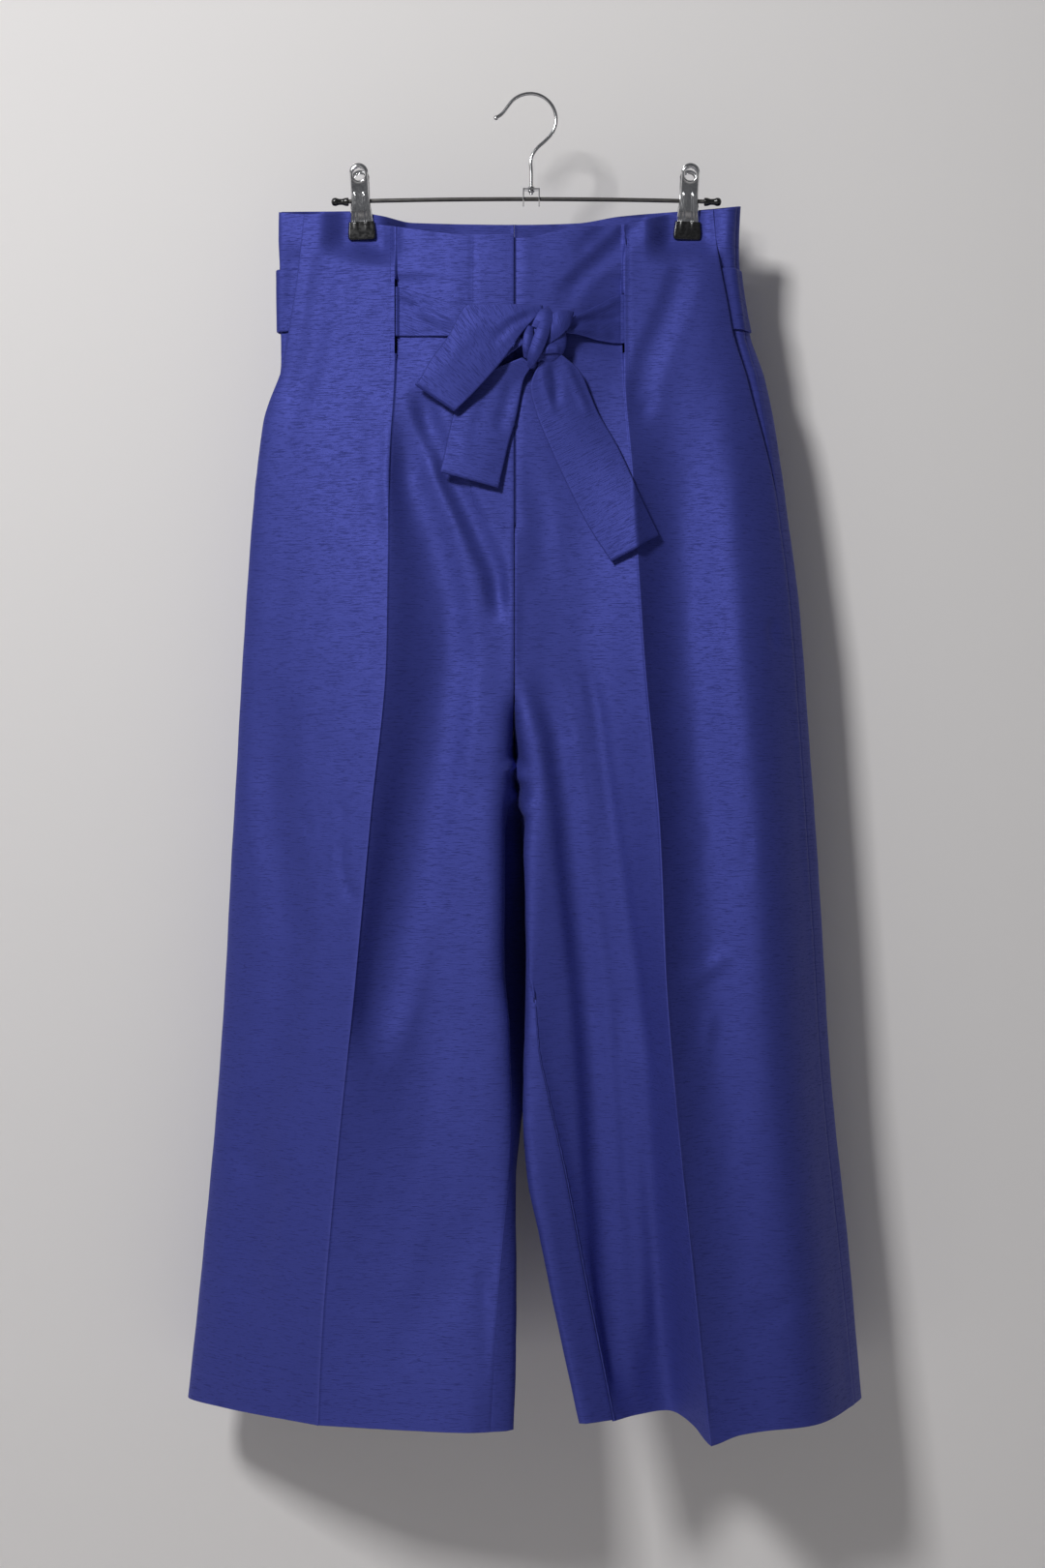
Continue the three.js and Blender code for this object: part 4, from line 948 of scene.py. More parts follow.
class Panels:
    """The panels and side pieces of both legs."""

    OUTER_COLUMNS = 34
    FRONT_INNER_COLUMNS = 32
    BACK_INNER_COLUMNS = 30
    SIDE_COLUMNS = 14
    FRONT_EASE = 12.0
    BACK_EASE = 14.0
    SIDE_BOTTOM = -295.0
    SIDE_UNDER = Line((-98, 2.5), (-130, 4), (-160, 8), (-220, 12), (-306, 9))
    SIDE_SINK = Line((-90, 1.8), (-118, 2.2), (-134, TUCK_STEP), (-192, TUCK_STEP), (-220, 3.6),
                     (-306, 3.6))
    FLY_UNDER = 14.0
    FLY_SINK = 1.1
    CREASE_WIDTH = 1.6
    # Widths of the highlight painted along a crease and along the folded edges at the top and the hem.
    CREASE_SHEEN = 2.2
    WORN_WIDTH = 1.4

    def __init__(self) -> None:
        """Starts with no sheets made."""
        self.sheets: dict[str, Sheet] = {}
        self.plain_fronts: list[np.ndarray] = []

    def front(self, side: Side) -> Sheet:
        """A front panel with its stitched tuck, its belt slit, the crease and the fly's edge.

        Args:
            side: the wearer's side.

        Returns:
            The panel's sheet.
        """
        leg = LEGS[side]
        z = panel_heights(TOP_Z, HEM_Z, KEY_HEIGHTS)
        cut = Cut(side, z)
        start = np.where(z > POCKET_END_Z, leg.pocket_edge(z), SEAM_GAP / 2)[:, None]
        outer_at = spread(start, cut.outer_front.length, self.OUTER_COLUMNS)
        outer = cut.front_outer(outer_at)
        shares = spread(np.zeros((len(z), 1)), cut.inner_front.length - TUCK_UNDER,
                        self.FRONT_INNER_COLUMNS)
        shares = shares / shares[:, -1:]
        inner = cut.front_inner(shares)
        columns = [outer, self.tuck_turn(outer, inner, z), inner]
        if side is Side.LEFT:
            columns.append(self.fly_tongue(inner[:, -1], z))
        points = np.concatenate(columns, axis=1)
        top, hem = TOP_FRONT[side](seen_x(points)), HEM_FRONT[side](seen_x(points))
        points = stretch_ends(points, z, real_z(top, points[..., 1]), hem)
        sheet = Sheet(points, side.value)
        fold_at, seam_at = outer.shape[1] - 1, outer.shape[1] + 1 + inner.shape[1]
        fly = z >= FLY_END_Z
        in_slit = (z[:-1] <= leg.slit_top) & (z[1:] >= SLIT_BOTTOM)
        sheet.open[in_slit, fold_at:fold_at + 3] = True
        if side is Side.LEFT:
            sheet.open[~fly[1:], seam_at:] = True
        self.plain_fronts.append(points[:, :seam_at + 1].copy())
        shape = points.shape[:2]
        to_start = near_or_far(shape, (slice(fold_at + 1), outer_at - start))
        to_end = near_or_far(shape, (slice(seam_at + 1 - inner.shape[1], seam_at + 1),
                                     (1 - shares) * cut.inner_front.length))
        to_fold = near_or_far(shape, (slice(fold_at + 1), cut.outer_front.length - outer_at))
        x, height = seen_x(points), seen_z(points)
        lift = sum(fold.lift(x, height) for fold in FRONT_FOLDS) + settle(x, height)
        lift *= smoothstep(to_start, 0, self.FRONT_EASE) * smoothstep(to_end, 0, self.FRONT_EASE)
        crumple = sum(fold.lift(x, height) for fold in CROTCH_CRUMPLE)
        lift += crumple * (z < CRUMPLE_TOP)[:, None] * (to_end < CRUMPLE_REACH)
        lift[:, seam_at + 1:] = 0
        sewn_side, sewn_centre = (z <= POCKET_END_Z)[:, None], ~fly[:, None]
        lift -= np.where(sewn_side, seam_pull(to_start, height), 0.25 * bump_at(to_start, 0.8))
        lift -= np.where(sewn_centre, seam_pull(to_end, height), 0.2 * bump_at(to_end, 0.8))
        if side is Side.LEFT:
            lift -= self.FLY_SINK * fly[:, None] * bump_at(to_end, 5.0)
        pressed = smoothstep(-height, *PRESS_DOWN)
        lift += 0.5 * pressed * bump_at(to_fold, self.CREASE_WIDTH)
        in_rows = np.abs(to_fold - TUCK_STITCH_IN) < 1.2
        lift -= 0.22 * smoothstep(height, -216, -206) * in_rows
        # A highlight painted as paler colour along the tuck's fold, strongest where the crease is
        # pressed.
        sheet.painted_highlight = bump_at(to_fold, self.CREASE_SHEEN) * (0.12 + 0.88 * pressed)
        self.wear(sheet)
        sheet.move(lift)
        return sheet

    @staticmethod
    def tuck_turn(outer: np.ndarray, inner: np.ndarray, z: np.ndarray) -> np.ndarray:
        """The two columns where the cloth turns from the tuck's fold to what lies under it.

        Args:
            outer: the grid that ends at the fold.
            inner: the grid that starts under it.
            z: each row's height.

        Returns:
            Rows, two points, X, Y and Z.
        """
        step = (TUCK(z) / TUCK_STEP)[:, None]
        edge, under = outer[:, -1], inner[:, 0]
        way = edge - outer[:, -3]
        way = way / np.linalg.norm(way, axis=1, keepdims=True)
        turn = [mix(edge, under, share) + way * out * step for share, out in ((0.15, 0.7), (0.6, 0.9))]
        return np.stack(turn, axis=1)

    def fly_tongue(self, edge: np.ndarray, z: np.ndarray) -> np.ndarray:
        """The left front's strip that runs under the right front's edge at the fly.

        Args:
            edge: the left front's edge at the centre, a point for each row.
            z: each row's height.

        Returns:
            Rows, three points, X, Y and Z.
        """
        taper = np.where(z > FLY_END_Z + 20, 1.0, 0.4)[:, None]
        first = edge + np.array([0, CLOTH + 2 * SEAM_GAP + 0.2, 0])
        tongue = [first + np.array([-self.FLY_UNDER * s, SEAM_GAP, 0]) * taper for s in (0, 0.5, 1)]
        return np.stack(tongue, axis=1)

    def back(self, side: Side) -> Sheet:
        """A back panel with its pressed crease.

        Args:
            side: the wearer's side.

        Returns:
            The panel's sheet.
        """
        z = panel_heights(TOP_Z, HEM_Z, KEY_HEIGHTS)
        cut = Cut(side, z)
        outer_at = spread(np.full((len(z), 1), SEAM_GAP / 2), cut.outer_back.length,
                          self.OUTER_COLUMNS)
        outer = cut.back_outer(outer_at)
        shares = spread(np.zeros((len(z), 1)), cut.inner_back.length, self.BACK_INNER_COLUMNS)[:, 1:]
        shares = shares / shares[:, -1:]
        points = np.concatenate([outer, cut.back_inner(shares)], axis=1)
        top, hem = TOP_BACK(seen_x(points)), HEM_BACK(seen_x(points))
        points = stretch_ends(points, z, real_z(top, points[..., 1]), hem)
        sheet = Sheet(points, -side.value)
        shape, width = points.shape[:2], outer.shape[1]
        length = cut.inner_back.length
        to_start = near_or_far(shape, (slice(width), outer_at))
        to_end = near_or_far(shape, (slice(width, None), (1 - shares) * length))
        to_fold = near_or_far(shape, (slice(width), cut.outer_back.length - outer_at),
                              (slice(width, None), shares * length))
        x, height = seen_x(points), seen_z(points)
        lift = sum(fold.lift(x, height) for fold in BACK_FOLDS) + settle(-x, height)
        lift *= smoothstep(to_start, 0, self.BACK_EASE) * smoothstep(to_end, 0, self.BACK_EASE)
        crumple = sum(fold.lift(x, height) for fold in CROTCH_CRUMPLE)
        lift += crumple * (z < CRUMPLE_TOP)[:, None]
        lift -= seam_pull(to_start, height) + seam_pull(to_end, height)
        pressed = smoothstep(-height, *PRESS_DOWN)
        lift += 0.6 * pressed * bump_at(to_fold, self.CREASE_WIDTH)
        # A highlight painted as paler colour along the pressed crease.
        sheet.painted_highlight = bump_at(to_fold, self.CREASE_SHEEN) * pressed
        self.wear(sheet)
        sheet.move(lift)
        return sheet

    def side_piece(self, side: Side) -> Sheet:
        """The piece behind the pocket's opening, up to the top edge.

        Args:
            side: the wearer's side.

        Returns:
            The piece's sheet.
        """
        z = panel_heights(TOP_Z, self.SIDE_BOTTOM, (-114.0, -134.0, -192.0, -220.0), 3.6)
        cut = Cut(side, z)
        edge = LEGS[side].pocket_edge(z)[:, None]
        at = spread(np.full((len(z), 1), SEAM_GAP / 2), edge + self.SIDE_UNDER(z)[:, None],
                    self.SIDE_COLUMNS)
        points = cut.front_outer(at, self.SIDE_SINK(z)[:, None] * smoothstep(at / (0.8 * edge)))
        top = real_z(TOP_FRONT[side](seen_x(points)), points[..., 1])
        points[..., 2] += near_top(z) * (top - TOP_Z)
        sheet = Sheet(points, side.value)
        height = seen_z(points)
        lift = 0.5 * settle(seen_x(points), height) * smoothstep(at, 0, 10)
        beside_edges = smoothstep(at, 2, 12) * (1 - smoothstep(at, edge, edge + 3))
        lift += 0.8 * bump_at(height + 112, 12) * beside_edges
        lift -= seam_pull(at, height)
        self.wear(sheet)
        sheet.move(lift)
        return sheet

    def wear(self, sheet: Sheet) -> None:
        """Paints a highlight, as paler colour, along the folded edges at the top and the hem, where the
        cloth is pressed.

        Args:
            sheet: the sheet that is marked.
        """
        from_top = sheet.points[0:1, :, 2] - sheet.points[..., 2]
        from_hem = sheet.points[..., 2] - sheet.points[-1:, :, 2]
        # Painted highlight along the top and hem edges.
        highlight_share = bump_at(from_top, self.WORN_WIDTH) + bump_at(from_hem, self.WORN_WIDTH)
        sheet.painted_highlight = np.clip(sheet.painted_highlight + 0.5 * highlight_share, 0, 1)

    def build(self) -> dict[str, bpy.types.Object]:
        """Makes all six pieces.

        Returns:
            The pieces by name.
        """
        made = {}
        for side in Side:
            for stem, maker in (("front_panel_", self.front), ("back_panel_", self.back),
                                ("pocket_side_", self.side_piece)):
                name = stem + side.tag
                self.sheets[name] = maker(side)
                made[name] = self.sheets[name].build("silk_" + name)
        return made


class Lying:
    """Finds the place of what lies on a surface, on the line from the view point."""

    PLAIN_Y = -30.0

    def __init__(self, grids: list[np.ndarray]) -> None:
        """Makes a tree of the grids' faces, in millimetres.

        Args:
            grids: rows, points, X, Y and Z of each.
        """
        points: list = []
        faces: list = []
        for grid in grids:
            rows, columns = grid.shape[:2]
            faces.extend((grid_faces(np.ones((rows - 1, columns - 1), bool)) + len(points)).tolist())
            points.extend(grid.reshape(-1, 3).tolist())
        self.tree = BVHTree.FromPolygons(points, faces)

    def before(self, x: float, z: float, lift: float) -> tuple[float, float, float]:
        """A point in front of the surface, or of a plain depth where the surface has a gap.

        Args:
            x: the place across, as seen.
            z: the height, as seen.
            lift: how far in front of the surface the point lies.

        Returns:
            The point.
        """
        way = Vector((x, 0.0, z)) - Vector(VIEW)
        hit = self.tree.ray_cast(Vector(VIEW), way.normalized())[0]
        y = (hit.y if hit else self.PLAIN_Y) - lift
        return float(real_x(x, y)), y, float(real_z(z, y))


@dataclass
class Ribbon:
    """A length of belt through rows across it, as seen.

    A row is the x and z of one edge, the x and z of the other, how far it lies in front of the
    panels, and how much further its middle does, which is nothing where it isn't given.
    """

    LEAST_STEP: ClassVar[float] = 0.4

    name: str
    rows: tuple[tuple[float, ...], ...]
    lifts: list[Fold] = field(default_factory=list)
    step: float = 2.2
    across: int = 22

    def eased_rows(self) -> np.ndarray:
        """The rows with smooth ones between them, a step apart.

        Returns:
            Rows of six numbers.
        """
        rows = np.array([(*r, 0.0)[:6] for r in self.rows], float)
        middle = (rows[:, :2] + rows[:, 2:4]) / 2
        steps = np.maximum(np.linalg.norm(np.diff(middle, axis=0), axis=1), self.LEAST_STEP)
        run = np.concatenate([[0], np.cumsum(steps)])
        stops = np.linspace(0, run[-1], max(8, int(run[-1] / self.step)))
        stops = np.unique(np.concatenate([stops, run]))
        return np.stack([Line(*zip(run, rows[:, k]))(stops) for k in range(6)], axis=1)

    def grid(self, lying: Lying) -> np.ndarray:
        """The outer face's points.

        Args:
            lying: the surface that the ribbon lies on.

        Returns:
            Rows down the ribbon, points across it, X, Y and Z.
        """
        share = 0.5 - 0.5 * np.cos(np.linspace(0, math.pi, self.across))
        share = mix(np.linspace(0, 1, self.across), share, 0.75)
        grid = []
        for ax, az, bx, bz, lift, crown in self.eased_rows():
            row = []
            for t in share:
                high = lift + crown * math.sin(math.pi * t)
                row.append(lying.before(mix(ax, bx, t), mix(az, bz, t), high))
            grid.append(row)
        points = np.array(grid)
        if self.lifts:
            x, z = seen_x(points), seen_z(points)
            points[..., 1] -= sum(fold.lift(x, z) for fold in self.lifts)
        return points


def tube_of_cloth(name: str, points: np.ndarray, sign: float, thick: float,
                  grain_along: bool) -> bpy.types.Object:
    """A flat tube with rounded long edges and closed ends, through the points of its outer face.

    Args:
        name: the object's name.
        points: rows along the tube, points across it, X, Y and Z.
        sign: the way out of the grid.
        thick: the tube's thickness.
        grain_along: whether the grain's map runs along the tube.

    Returns:
        The finished object.
    """
    rows = points.shape[0]
    run = run_across(points)
    to_edge = np.minimum(run, run[:, -1:] - run)
    from_edge = np.clip(1 - to_edge / (thick * 0.6), 0, 1)
    round_off = np.sqrt(np.clip(1 - from_edge**2, 0, 1))[..., None]
    out = normals(points, sign)
    middle = points - out * thick / 2
    top = middle + out * thick / 2 * round_off
    bottom = middle - out * thick / 2 * round_off
    ring = np.concatenate([top, bottom[:, -2:0:-1]], axis=1)
    count = ring.shape[1]
    j, i = np.nonzero(np.ones((rows - 1, count), bool))
    a, b = j * count + i, j * count + (i + 1) % count
    turn = -1 if sign < 0 else 1
    quads = np.stack([a, b, b + count, a + count], 1)[:, ::turn]
    first, last = list(range(count))[::-1], [(rows - 1) * count + k for k in range(count)]
    caps = [first[::turn], last[::turn]]
    made = mesh_object(name, ring.reshape(-1, 3), [*map(tuple, quads.tolist()), *map(tuple, caps)])
    for cap in (0, 1):
        made.data.polygons[len(quads) + cap].use_smooth = False
    down = np.linalg.norm(np.diff(ring, axis=0), axis=2).mean(axis=1)
    v = np.repeat(np.concatenate([[0], np.cumsum(down)]), count)
    u = np.concatenate([run, run[:, -2:0:-1]], axis=1).ravel()
    if grain_along:
        u, v = v, u
    grain_map(made.data, u * MM, v * MM)
    # A highlight painted as paler colour along the tube's long edges.
    painted_highlight = bump_at(np.concatenate([to_edge, to_edge[:, -2:0:-1]], axis=1), 1.2).ravel()
    shade_map(made.data, "painted_highlight", painted_highlight * 0.8)
    return made


def facing_front(grid: np.ndarray) -> float:
    """The sign that turns a grid's normals to the front."""
    return -1.0 if normals(grid, -1)[..., 1].mean() < 0 else 1.0


class Belt:
    """The belt: the stretch round the back, the front stretches, the half bow and its knot."""

    FRONT_RIGHT = (
        (-2, -177, -2, -188, 11), (-9, -174, -9, -188, 9), (-25, -168, -25, -188, 5.5),
        (-45, -162, -45, -187, 3.4), (-61, -160, -61, -186.6, 2.8), (-82, -154, -82, -186.4, 2.4),
        (-100.5, -148.2, -100.5, -186.4, 2.2), (-104.6, -147.6, -104.6, -186.4, -2.4),
        (-108.5, -147.4, -108.5, -186.4, -2.4),
    )
    FRONT_LEFT = (
        (29, -174, 29, -184, 12), (36, -171, 36, -185, 9), (44, -167, 44, -187, 5.5, 1.5),
        (54, -162, 54, -190, 3.2, 1), (71.5, -154, 71.5, -192.3, 2.2), (75.6, -153.5, 75.6, -192, -2.4),
        (79, -153.5, 79, -192, -2.4),
    )
    TAIL_RIGHT = (
        (-5, -203, 4, -208, 11), (-30, -214, -3.5, -221, 5.5), (-50, -232, -6.5, -236, 3.4),
        (-58.5, -248, -9, -249, 3.2, 1), (-63, -267, -15, -270, 4, 2), (-66, -281, -19.5, -289, 5.4, 2),
        (-68.5, -291.5, -23, -304, 6.6, 1.5),
    )
    TAIL_LEFT = (
        (9, -206, 24, -199, 13), (1.5, -226, 40.5, -214, 9, 1), (6, -246, 48, -231, 6.5, 1.5),
        (13, -264, 54, -245, 5.6, 2), (26, -293, 69.5, -272, 4.6, 2.5), (46.5, -334, 88.5, -313, 4.4, 2),
        (64, -361, 102, -341, 6, 1),
    )
    LOOP = (
        (11, -162.5, 12, -166, 15), (-5, -161.5, 2, -176, 16.5, 0.6), (-25, -161, -7, -187, 17, 1),
        (-45, -161, -18, -203, 16, 1.5), (-63, -187, -33, -220.5, 14.5, 1.2),
        (-76, -204.5, -44.3, -232.4, 12.5, 0.8), (-86, -222.5, -56, -243.5, 11.4),
        (-88, -224.5, -57.8, -245, 9.2), (-86, -222.2, -56, -242.6, 7), (-68.5, -198, -37, -223, 7.6),
        (-42, -180, -16, -202, 9), (-13, -178, -2, -192, 12.4),
    )
    KNOT = {
        "belt_knot_lobe": ((35.5, -167, 35, -171, 12, 0.4), (30, -166, 33, -178, 15, 1.4),
                           (22, -167, 26, -186, 17, 2), (14, -174, 19, -191, 17, 1.6),
                           (8, -184, 12, -196, 13, 0.6)),
        "belt_knot_top": ((14, -163.5, 16, -163.5, 13.5, 0.4), (9, -166, 19, -168, 16.5, 1.4),
                          (5, -172, 20, -176, 18, 1.6), (2, -179, 17, -184, 16.5, 1)),
        "belt_knot_wrap": ((9, -174, 18.5, -175, 18.5, 1.2), (5, -183, 16, -186.5, 20.5, 2),
                           (1.5, -193, 11, -199, 20, 2), (-1, -203, 5.5, -208, 16.5, 1.2),
                           (-1, -210, 2, -212.5, 12, 0.4)),
        "belt_knot_fold": ((-0.5, -178, 4, -179, 16, 1), (-3.8, -185, 4.5, -187, 18.5, 1.6),
                           (-5, -194, 2.5, -197, 17.5, 1.5), (-4, -203, 0.5, -205, 13, 0.7)),
        "belt_knot_lip": ((8, -194, 9, -199, 14.5, 0.6), (15, -191.5, 14, -200.5, 16.5, 1.5),
                          (22, -192.5, 21, -200, 16, 1.4), (29, -196, 27, -200.5, 12, 0.6)),
    }
    AT_SIDE = (-135.5, -183.5)
    AT_SLIT = {Side.RIGHT: (-152.5, -190.5), Side.LEFT: (-158.0, -196.0)}
    HEIGHTS = 18
    OFF_PANEL = 0.3
    UNDER_PANEL = 2.6
    FROM_CREASE = 6.0
    CORE_AT = (13.5, -189.5, 11.5)
    CORE_RADII = (16.0, 5.0, 18.0)
    KNOT_THICK = 1.5

    def __init__(self, lying: Lying) -> None:
        """Keeps the surface that the front pieces lie on."""
        self.lying = lying
        self.sizes: dict[str, tuple[float, float]] = {}

    @staticmethod
    def round_stops() -> list[tuple[str, float]]:
        """The stops of the stretch round one side, from the front slit to the centre back.

        Returns:
            The part of the way and the share of it, for each stop.
        """
        hidden = [("hidden", s) for s in np.linspace(0.03, 0.92, 16)]
        shown = [("shown", s) for s in np.linspace(1.0, 0.03, 18)]
        shares = np.concatenate([np.linspace(0.02, 0.25, 12), np.linspace(0.28, 1, 22)])
        back = [("back", s) for s in shares]
        return hidden + shown + back + [("inner", s) for s in np.linspace(0.04, 0.985, 22)]

    def round_piece(self) -> bpy.types.Object:
        """The stretch round the back and through the side slits.

        Returns:
            The object.
        """
        over = -(self.OFF_PANEL + BELT_THICK)
        down = 0.5 - 0.5 * np.cos(np.linspace(0, math.pi, self.HEIGHTS))
        halves = []
        for side in (Side.RIGHT, Side.LEFT):
            columns = []
            for kind, share in self.round_stops():
                slant = 1 - share if kind == "hidden" else 0.0
                top, bottom = (mix(a, b, slant) for a, b in zip(self.AT_SIDE, self.AT_SLIT[side]))
                z = mix(top, bottom, down)
                cut = Cut(side, z)
                edge = LEGS[side].pocket_edge(z)[:, None]
                if kind == "hidden":
                    from_seam = mix(cut.outer_front.length - self.FROM_CREASE, edge, share)
                    points = cut.front_outer(from_seam, self.UNDER_PANEL)
                elif kind == "shown":
                    sink = mix(over, self.UNDER_PANEL, smoothstep((share - 0.2) / 0.7))
                    points = cut.front_outer(edge * share, sink)
                elif kind == "back":
                    points = cut.back_outer(cut.outer_back.length * share, over)
                else:
                    points = cut.back_inner(np.full((len(z), 1), share), over)
                columns.append(points[:, 0])
            halves.append(columns)
        grid = np.stack(halves[0] + halves[1][::-1], axis=0)
        self.note("silk_belt_round", grid)
        return tube_of_cloth("silk_belt_round", grid, -1.0, BELT_THICK, True)

    def note(self, name: str, grid: np.ndarray) -> None:
        """Keeps a belt piece's mean width and its length, in metres.

        Args:
            name: the object's name.
            grid: rows along the piece, points across it, X, Y and Z.
        """
        long = float(np.linalg.norm(np.diff(grid.mean(axis=1), axis=0), axis=1).sum())
        wide = float(np.linalg.norm(np.diff(grid, axis=1), axis=2).sum(axis=1).mean())
        self.sizes[name] = (wide * MM, long * MM)

    def ribbons(self) -> list[Ribbon]:
        """Every piece of the belt that lies in front of the panels.

        Returns:
            The ribbons.
        """
        fold = [Fold(((-104, -149.5), (-92, -158), (-76, -169), (-56, -179)), 1.5, 9, 4, 12, Form.RIDGE),
                Fold(((-103, -158), (-90, -163), (-78, -166)), 1.6, 4, 7, 8),
                Fold(((-103, -184), (-70, -184)), 0.4, 3, 3, 8)]
        gather = [Fold(((31, -174), (50, -167), (70, -159)), 1.3, 4, 5, 8, Form.RIDGE),
                  Fold(((31, -177), (52, -174), (74, -172)), 1.4, 4, 4, 8),
                  Fold(((31, -180), (50, -182), (66, -187)), 1.3, 5, 4, 8, Form.RIDGE),
                  Fold(((31, -179), (44, -179), (58, -181)), 1.0, 3, 3, 6)]
        tail = [Fold(((18, -204), (21, -222), (22, -240)), 1.8, 5, 7, 10),
                Fold(((10, -207), (12, -226), (20, -250)), 1.0, 4, 5, 10, Form.RIDGE),
                Fold(((27, -204), (36, -224), (48, -250)), 0.9, 5, 5, 12, Form.RIDGE)]
        first_tail = [Fold(((-10, -214), (-16, -236), (-24, -262)), 1.2, 8, 8, 12),
                      Fold(((-40, -226), (-48, -256), (-52, -290)), 0.8, 10, 8, 16, Form.RIDGE)]
        loop = [Fold(((6, -168), (-12, -176), (-30, -192)), 1.2, 5, 6, 10),
                Fold(((-30, -166), (-56, -196), (-76, -224)), 0.8, 12, 10, 20, Form.RIDGE)]
        return [
            Ribbon("belt_front_r", self.FRONT_RIGHT, fold, across=30),
            Ribbon("belt_front_l", self.FRONT_LEFT, gather, across=30),
            Ribbon("belt_tail_r", self.TAIL_RIGHT, first_tail),
            Ribbon("belt_tail_l", self.TAIL_LEFT, tail, across=30),
            Ribbon("belt_loop", self.LOOP, loop),
        ]

    def knot(self) -> bpy.types.Object:
        """The knot: five folds of the belt round a core.

        Returns:
            The object.
        """
        core = ball(Vector(self.lying.before(*self.CORE_AT)), Vector(self.CORE_RADII), 48, 28)
        core.name = "silk_belt_knot"
        grain = core.data.uv_layers[0]
        grain.name = "grain"
        for loop_uv, loop in zip(grain.data, core.data.loops):
            place = core.data.vertices[loop.vertex_index].co
            loop_uv.uv = (place.x, place.z)
        # The core gets no painted highlight.
        shade_map(core.data, "painted_highlight", np.zeros(len(core.data.vertices)))
        folds = []
        for name, rows in self.KNOT.items():
            grid = Ribbon(name, rows, step=0.9, across=20).grid(self.lying)
            folds.append(tube_of_cloth(name, grid, facing_front(grid), self.KNOT_THICK, False))
        return join(core, folds)

    def build(self) -> dict[str, bpy.types.Object]:
        """Makes every piece of the belt.

        Returns:
            The pieces by name.
        """
        made = {"belt_round": self.round_piece(), "belt_knot": self.knot()}
        for ribbon in self.ribbons():
            grid = ribbon.grid(self.lying)
            facing = -1.0 if ribbon.name == "belt_loop" else facing_front(grid)
            along = ribbon.name.startswith("belt_front")
            made[ribbon.name] = tube_of_cloth("silk_" + ribbon.name, grid, facing, BELT_THICK, along)
            self.note("silk_" + ribbon.name, grid)
        return made


@dataclass
class Stitching:
    """Rows of stitches, each along a path as seen and as one piece of thread sunk in the cloth."""

    length: float = 2.3
    gap: float = 0.7
    radius: float = 0.17
    sides: int = 6
    spots: int = 5
    paths: dict[str, tuple[tuple[float, float], ...]] = field(default_factory=lambda: {
        "fly": ((-42.8, -110), (-43, -200), (-44.5, -270), (-45, -300), (-44.3, -309), (-40.5, -320),
                (-32.3, -329), (-21, -333.4)),
        "tack": ((-23, -332), (-17.5, -334.5), (-22, -335), (-17.5, -337)),
        "tuck_r": ((-107, -103), (-107, -147)),
        "tuck_r_low": ((-107, -192), (-107.4, -214)),
        "tuck_l": ((77.8, -102), (77.9, -150)),
        "tuck_l_low": ((78, -194), (78.4, -214)),
    })

    def build(self, lying: Lying) -> bpy.types.Object:
        """Makes all stitches as one object.

        Args:
            lying: the surface that they are sewn into.

        Returns:
            The object.
        """
        points: list = []
        faces: list = []
        for path in self.paths.values():
            line = np.array(path, float)
            run = run_along(line)
            at = 0.0
            while at + self.length < run[-1]:
                spots = []
                for s in np.linspace(at, at + self.length, self.spots):
                    x, z = np.interp(s, run, line[:, 0]), np.interp(s, run, line[:, 1])
                    arch = math.sin(math.pi * (s - at) / self.length)
                    spots.append(lying.before(x, z, self.radius * (1.5 * arch - 0.6)))
                self.thread(np.array(spots), points, faces)
                at += self.length + self.gap
        return mesh_object("thread_stitching", np.array(points), faces)

    def thread(self, spots: np.ndarray, points: list, faces: list) -> None:
        """Adds one stitch, a thin bent rod.

        Args:
            spots: places along the stitch.
            points: the list that its points are added to.
            faces: the list that its faces are added to.
        """
        sides, first, last = self.sides, len(points), len(spots) - 1
        way = np.gradient(spots, axis=0)
        way /= np.linalg.norm(way, axis=1, keepdims=True)
        level = np.cross(way, np.array([0.0, -1.0, 0.0]))
        level /= np.maximum(np.linalg.norm(level, axis=1, keepdims=True), 1e-9)
        out = np.cross(level, way)
        for k, (spot, a, b) in enumerate(zip(spots, level, out)):
            fat = self.radius * (0.55 if k in (0, last) else 1.0)
            for i in range(sides):
                turn = 2 * math.pi * i / sides
                points.append(spot + fat * (math.cos(turn) * a + math.sin(turn) * b))
        for k in range(last):
            for i in range(sides):
                a, b = first + k * sides + i, first + k * sides + (i + 1) % sides
                faces.append((a, b, b + sides, a + sides))
        faces.append(tuple(first + i for i in range(sides))[::-1])
        faces.append(tuple(first + last * sides + i for i in range(sides)))


@dataclass(frozen=True)
class SilkFinish:
    """Plain-woven slubbed silk: its colours as linear values, and how it takes the light."""

    name: str
    body: tuple[float, float, float]
    slub: tuple[float, float, float]
    # The third colour is painted on creases and folded edges as a highlight; the last field says how much
    # of it shows.
    pressed: tuple[float, float, float]
    roughness: float = 0.57
    satin: float = 0.42
    sheen: float = 0.05
    specular: float = 0.22
    slub_mix: float = 0.6
    cloud_mix: float = 0.16
    press_mix: float = 0.45


@dataclass(frozen=True)
class MetalFinish:
    """Bare or plated metal."""

    name: str
    colour: tuple[float, float, float]
    roughness: float
    scratch: float
    brushed: bool = False


@dataclass(frozen=True)
class RubberFinish:
    """Dipped or moulded black rubber."""

    name: str
    colour: tuple[float, float, float]
    roughness: float
    coat: float


